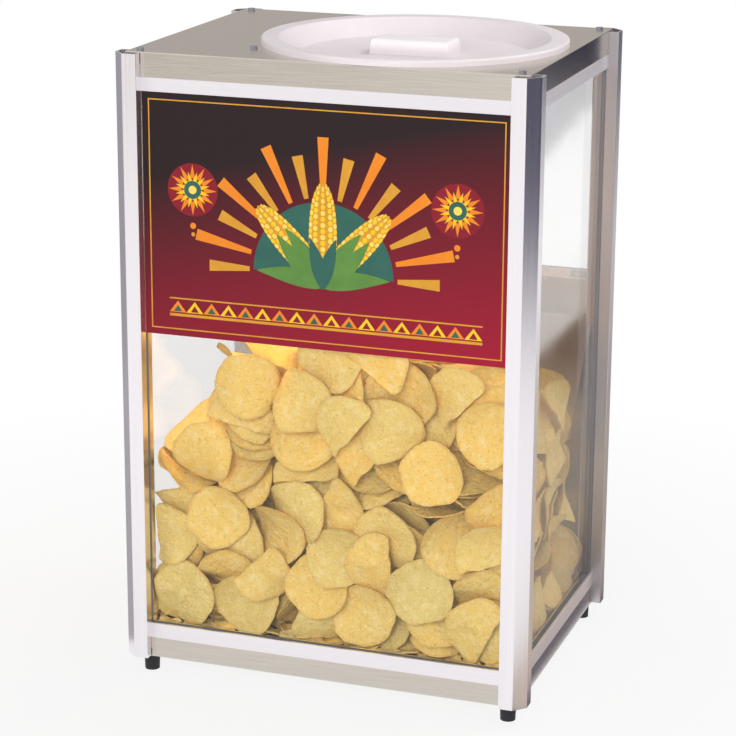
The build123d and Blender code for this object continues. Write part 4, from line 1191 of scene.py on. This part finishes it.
for layer in range(2):  # close rows behind the baffle
    for column in range(columns):
        for row in range(6):
            spin = tumble((0.06, 0.2, 0.05), (upright_turn, 0, 0))
            y, z = rear_row + rear_row_gap * row, rear_layer + rear_layer_gap * layer
            starts.append(((column_x(column), y, z), spin))
for layer_count, column_count, row_count, (first_x, first_y, first_z) in loose_blocks:
    for layer in range(layer_count):
        for column in range(column_count):
            for row in range(row_count):
                spin = tumble((0.7, 0.7, 3.1))
                x, y = about(first_x + loose_gap * column, 6), about(first_y + loose_gap * row, 5)
                starts.append(((x, y, first_z + loose_layer_gap * layer), spin))
print("chips to drop:", len(starts))

# %% [markdown]
# Bullet, Blender's rigid-body engine, lets the chips fall. It knows each chip by its convex hull, which
# takes far less time than the true shape. The walls are passive bodies, which stay where they are, and the
# chips are active ones. Crumbly food grips well and doesn't bounce.

# %% Bodies for the drop
grip, bounce = 0.55, 0.0
slowing, turn_slowing = 0.15, 0.3
hull_margin = 0.002


def hull(name, points):
    """The convex hull of some points, at the scale of the drop."""
    mesh = bpy.data.meshes.new(name)
    shape = bmesh.new()
    for place in points:
        shape.verts.new(Vector(place) * drop_scale)
    bmesh.ops.convex_hull(shape, input=shape.verts)
    shape.to_mesh(mesh)
    shape.free()
    return mesh


def kind_of(number):
    """The first pieces to be placed are bits, and the rest are whole chips."""
    return chip_kinds + number % bit_kinds if number < bits else number % chip_kinds


def add_bodies(bodies, kind):
    """Makes these objects rigid bodies, PASSIVE for walls and ACTIVE for what falls."""
    bpy.ops.object.select_all(action="DESELECT")
    for piece in bodies:
        piece.select_set(True)
    bpy.context.view_layer.objects.active = bodies[0]
    bpy.ops.rigidbody.objects_add(type=kind)
    for piece in bodies:
        body = piece.rigid_body
        body.collision_shape = "CONVEX_HULL"
        body.friction = grip
        body.restitution = bounce
        body.linear_damping = slowing
        body.angular_damping = turn_slowing
        body.use_margin = True
        body.collision_margin = hull_margin


print("walls of the bin:", len(bin_walls))

# %% [markdown]
# The drop runs frame by frame, for long enough to come to rest, and the resting places are read off at true
# size. The starts are seeded and the steps are fixed, so that the heap comes out the same each time. Then
# everything that the drop needed is taken away again.

# %% The drop
drop_frames = 120
bullet_steps, bullet_tries = 8, 16
drop_gravity = -60.0


def drop(starts):
    """Lets the chips fall and returns (kind, resting matrix) for each, at true size."""
    scene = bpy.context.scene
    bpy.ops.rigidbody.world_add()
    engine = scene.rigidbody_world
    engine.substeps_per_frame = bullet_steps
    engine.solver_iterations = bullet_tries
    engine.point_cache.frame_end = drop_frames
    earth = scene.gravity.copy()
    scene.gravity = (0, 0, drop_gravity)
    walls, falling = [], []
    for name, points in bin_walls.items():
        walls.append(bpy.data.objects.new("wall_" + name, hull(name, points)))
    all_kinds = range(chip_kinds + bit_kinds)
    hulls = [hull("hull", chip(kind, coarse_rings, coarse_segments)[0]) for kind in all_kinds]
    for number, (place, spin) in enumerate(starts):
        piece = bpy.data.objects.new("falling", hulls[kind_of(number)])
        piece.location = Vector(place) * mm * drop_scale
        piece.rotation_euler = spin
        falling.append(piece)
    for piece in walls + falling:
        bpy.context.collection.objects.link(piece)
    add_bodies(walls, "PASSIVE")
    add_bodies(falling, "ACTIVE")
    for step in range(1, drop_frames + 1):
        scene.frame_set(step)
    settled = []
    now = bpy.context.evaluated_depsgraph_get()
    for number, piece in enumerate(falling):
        place, spin, _ = piece.evaluated_get(now).matrix_world.decompose()
        resting = Matrix.Translation(place / drop_scale) @ spin.to_matrix().to_4x4()
        settled.append((kind_of(number), resting))
    bpy.ops.rigidbody.world_remove()
    for piece in walls + falling:
        bpy.data.objects.remove(piece)
    scene.gravity = earth
    scene.frame_set(1)
    return settled


resting = drop(starts)
heap = [
    (kind, place)
    for kind, place in resting
    if deck_top < place.translation.z
    and top_of(kind, place) < heap_line(place.translation.x, place.translation.y) + line_slack
]
print("chips at rest:", len(resting), "and in the heap:", len(heap))

# %% [markdown]
# A corn chip is fried masa: a matt, pale golden crust with pale bubbles, toasted patches, dark specks of
# husk and grains of salt. Its colour is built up in layers, each of which shows where its pattern passes a
# threshold. Specks and salt are a few tenths of a millimetre, and drawn at about two so that they show.
# Two numbers that each point of a chip carries take part: `chip_tone_and_painted_light`, one value for a
# whole chip, partly random because no two come out of the fryer alike and partly painted warm lamp light that
# grows with the chip's height, and `rim`, how near the point is to the edge, where a chip browns first.

# %% Corn chip finish
fried_corn, tree, shader = new_finish("fried_corn_masa", IOR=1.45, Roughness=0.62)
chip_tone_and_painted_light = add_node(tree, "ShaderNodeAttribute", attribute_name="chip_tone_and_painted_light").outputs["Fac"]
rim = add_node(tree, "ShaderNodeAttribute", attribute_name="rim").outputs["Fac"]
blotches = grain(tree, 9 * mm, 3.0)
toast = grain(tree, 6 * mm, 4.0)
specks = grain(tree, 2.2 * mm, 2.0)
salt = grain(tree, 1.7 * mm, 1.0)
chip_colour = vary_colour(tree, shader, chip_tone_and_painted_light, "#E0CB7C", "#FBCB60")
layers = (  # the pattern, where it starts and is full, how strong it then is, and its colour
    (blotches, 0.48, 0.7, 0.5, "#F7E2A0"),
    (rim, 0.9, 1.0, 0.4, "#CFA04C"),
    (toast, 0.6, 0.74, 0.4, "#C99E4A"),
    (specks, 0.6, 0.68, 0.32, "#A57C3A"),
    (salt, 0.62, 0.7, 0.5, "#FBEFC4"),
)
for pattern, low, high, strength, tint in layers:
    span = {"Value": pattern, "From Min": low, "From Max": high, "To Max": strength}
    shown = add_node(tree, "ShaderNodeMapRange", span).outputs[0]
    mixed = {0: shown, mix_first: chip_colour, mix_second: colour(tint)}
    chip_colour = add_node(tree, "ShaderNodeMix", mixed, data_type="RGBA").outputs[mix_out]
tree.links.new(chip_colour, shader.inputs["Base Color"])
emboss(tree, shader, grain(tree, 4.5 * mm, 5.0), 2.2 * mm)
print("layers of colour on a chip:", len(layers))

# %% [markdown]
# The chips that stay are joined into three meshes: the left and right of the bin, and behind the baffle.
# The tone is partly random and partly grows with a chip's height: the part that grows is painted warm light
# from the lamp, which makes the chips near it more golden. The edges of a chip stay sharp, and the rest is
# shaded smooth.

# %% Join the heap
heap_height = 280 * mm
painted_lamp_light_share = 0.4
sharp_angle = math.radians(50)


def join_chips(name, chips):
    """One mesh of all these chips, which rides on the cabinet."""
    points, faces, chip_tones_and_painted_light, rims = [], [], [], []
    for kind, place in chips:
        own_points, own_faces, own_rims = fine_chips[kind]
        start = len(points)
        points += [place @ Vector(point) for point in own_points]
        faces += [tuple(start + corner for corner in face) for face in own_faces]
        height = (place.translation.z - deck_top) / heap_height
        # The random part is the chip's own tone. The part that grows with height is painted warm lamp light.
        chip_tone_and_painted_light = (1 - painted_lamp_light_share) * draw.random() + painted_lamp_light_share * min(height, 1.0)
        chip_tones_and_painted_light += [chip_tone_and_painted_light] * len(own_points)
        rims += own_rims
    mesh = bpy.data.meshes.new(name)
    mesh.from_pydata(points, [], faces)
    for label, values in (("chip_tone_and_painted_light", chip_tones_and_painted_light), ("rim", rims)):
        mesh.attributes.new(label, "FLOAT", "POINT").data.foreach_set("value", values)
    mesh.shade_smooth()
    mesh.set_sharp_from_angle(angle=sharp_angle)
    mesh.materials.append(fried_corn)
    piece = add_object(name, mesh)
    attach(piece, "cabinet")
    print(name, "has", len(chips), "chips and", len(faces), "faces")


if heap:
    in_bin = [c for c in heap if c[1].translation.y < lip_y]
    join_chips("chips_in_bin_left", [c for c in in_bin if c[1].translation.x < 0])
    join_chips("chips_in_bin_right", [c for c in in_bin if c[1].translation.x >= 0])
    join_chips("chips_behind_baffle", [c for c in heap if c[1].translation.y >= lip_y])
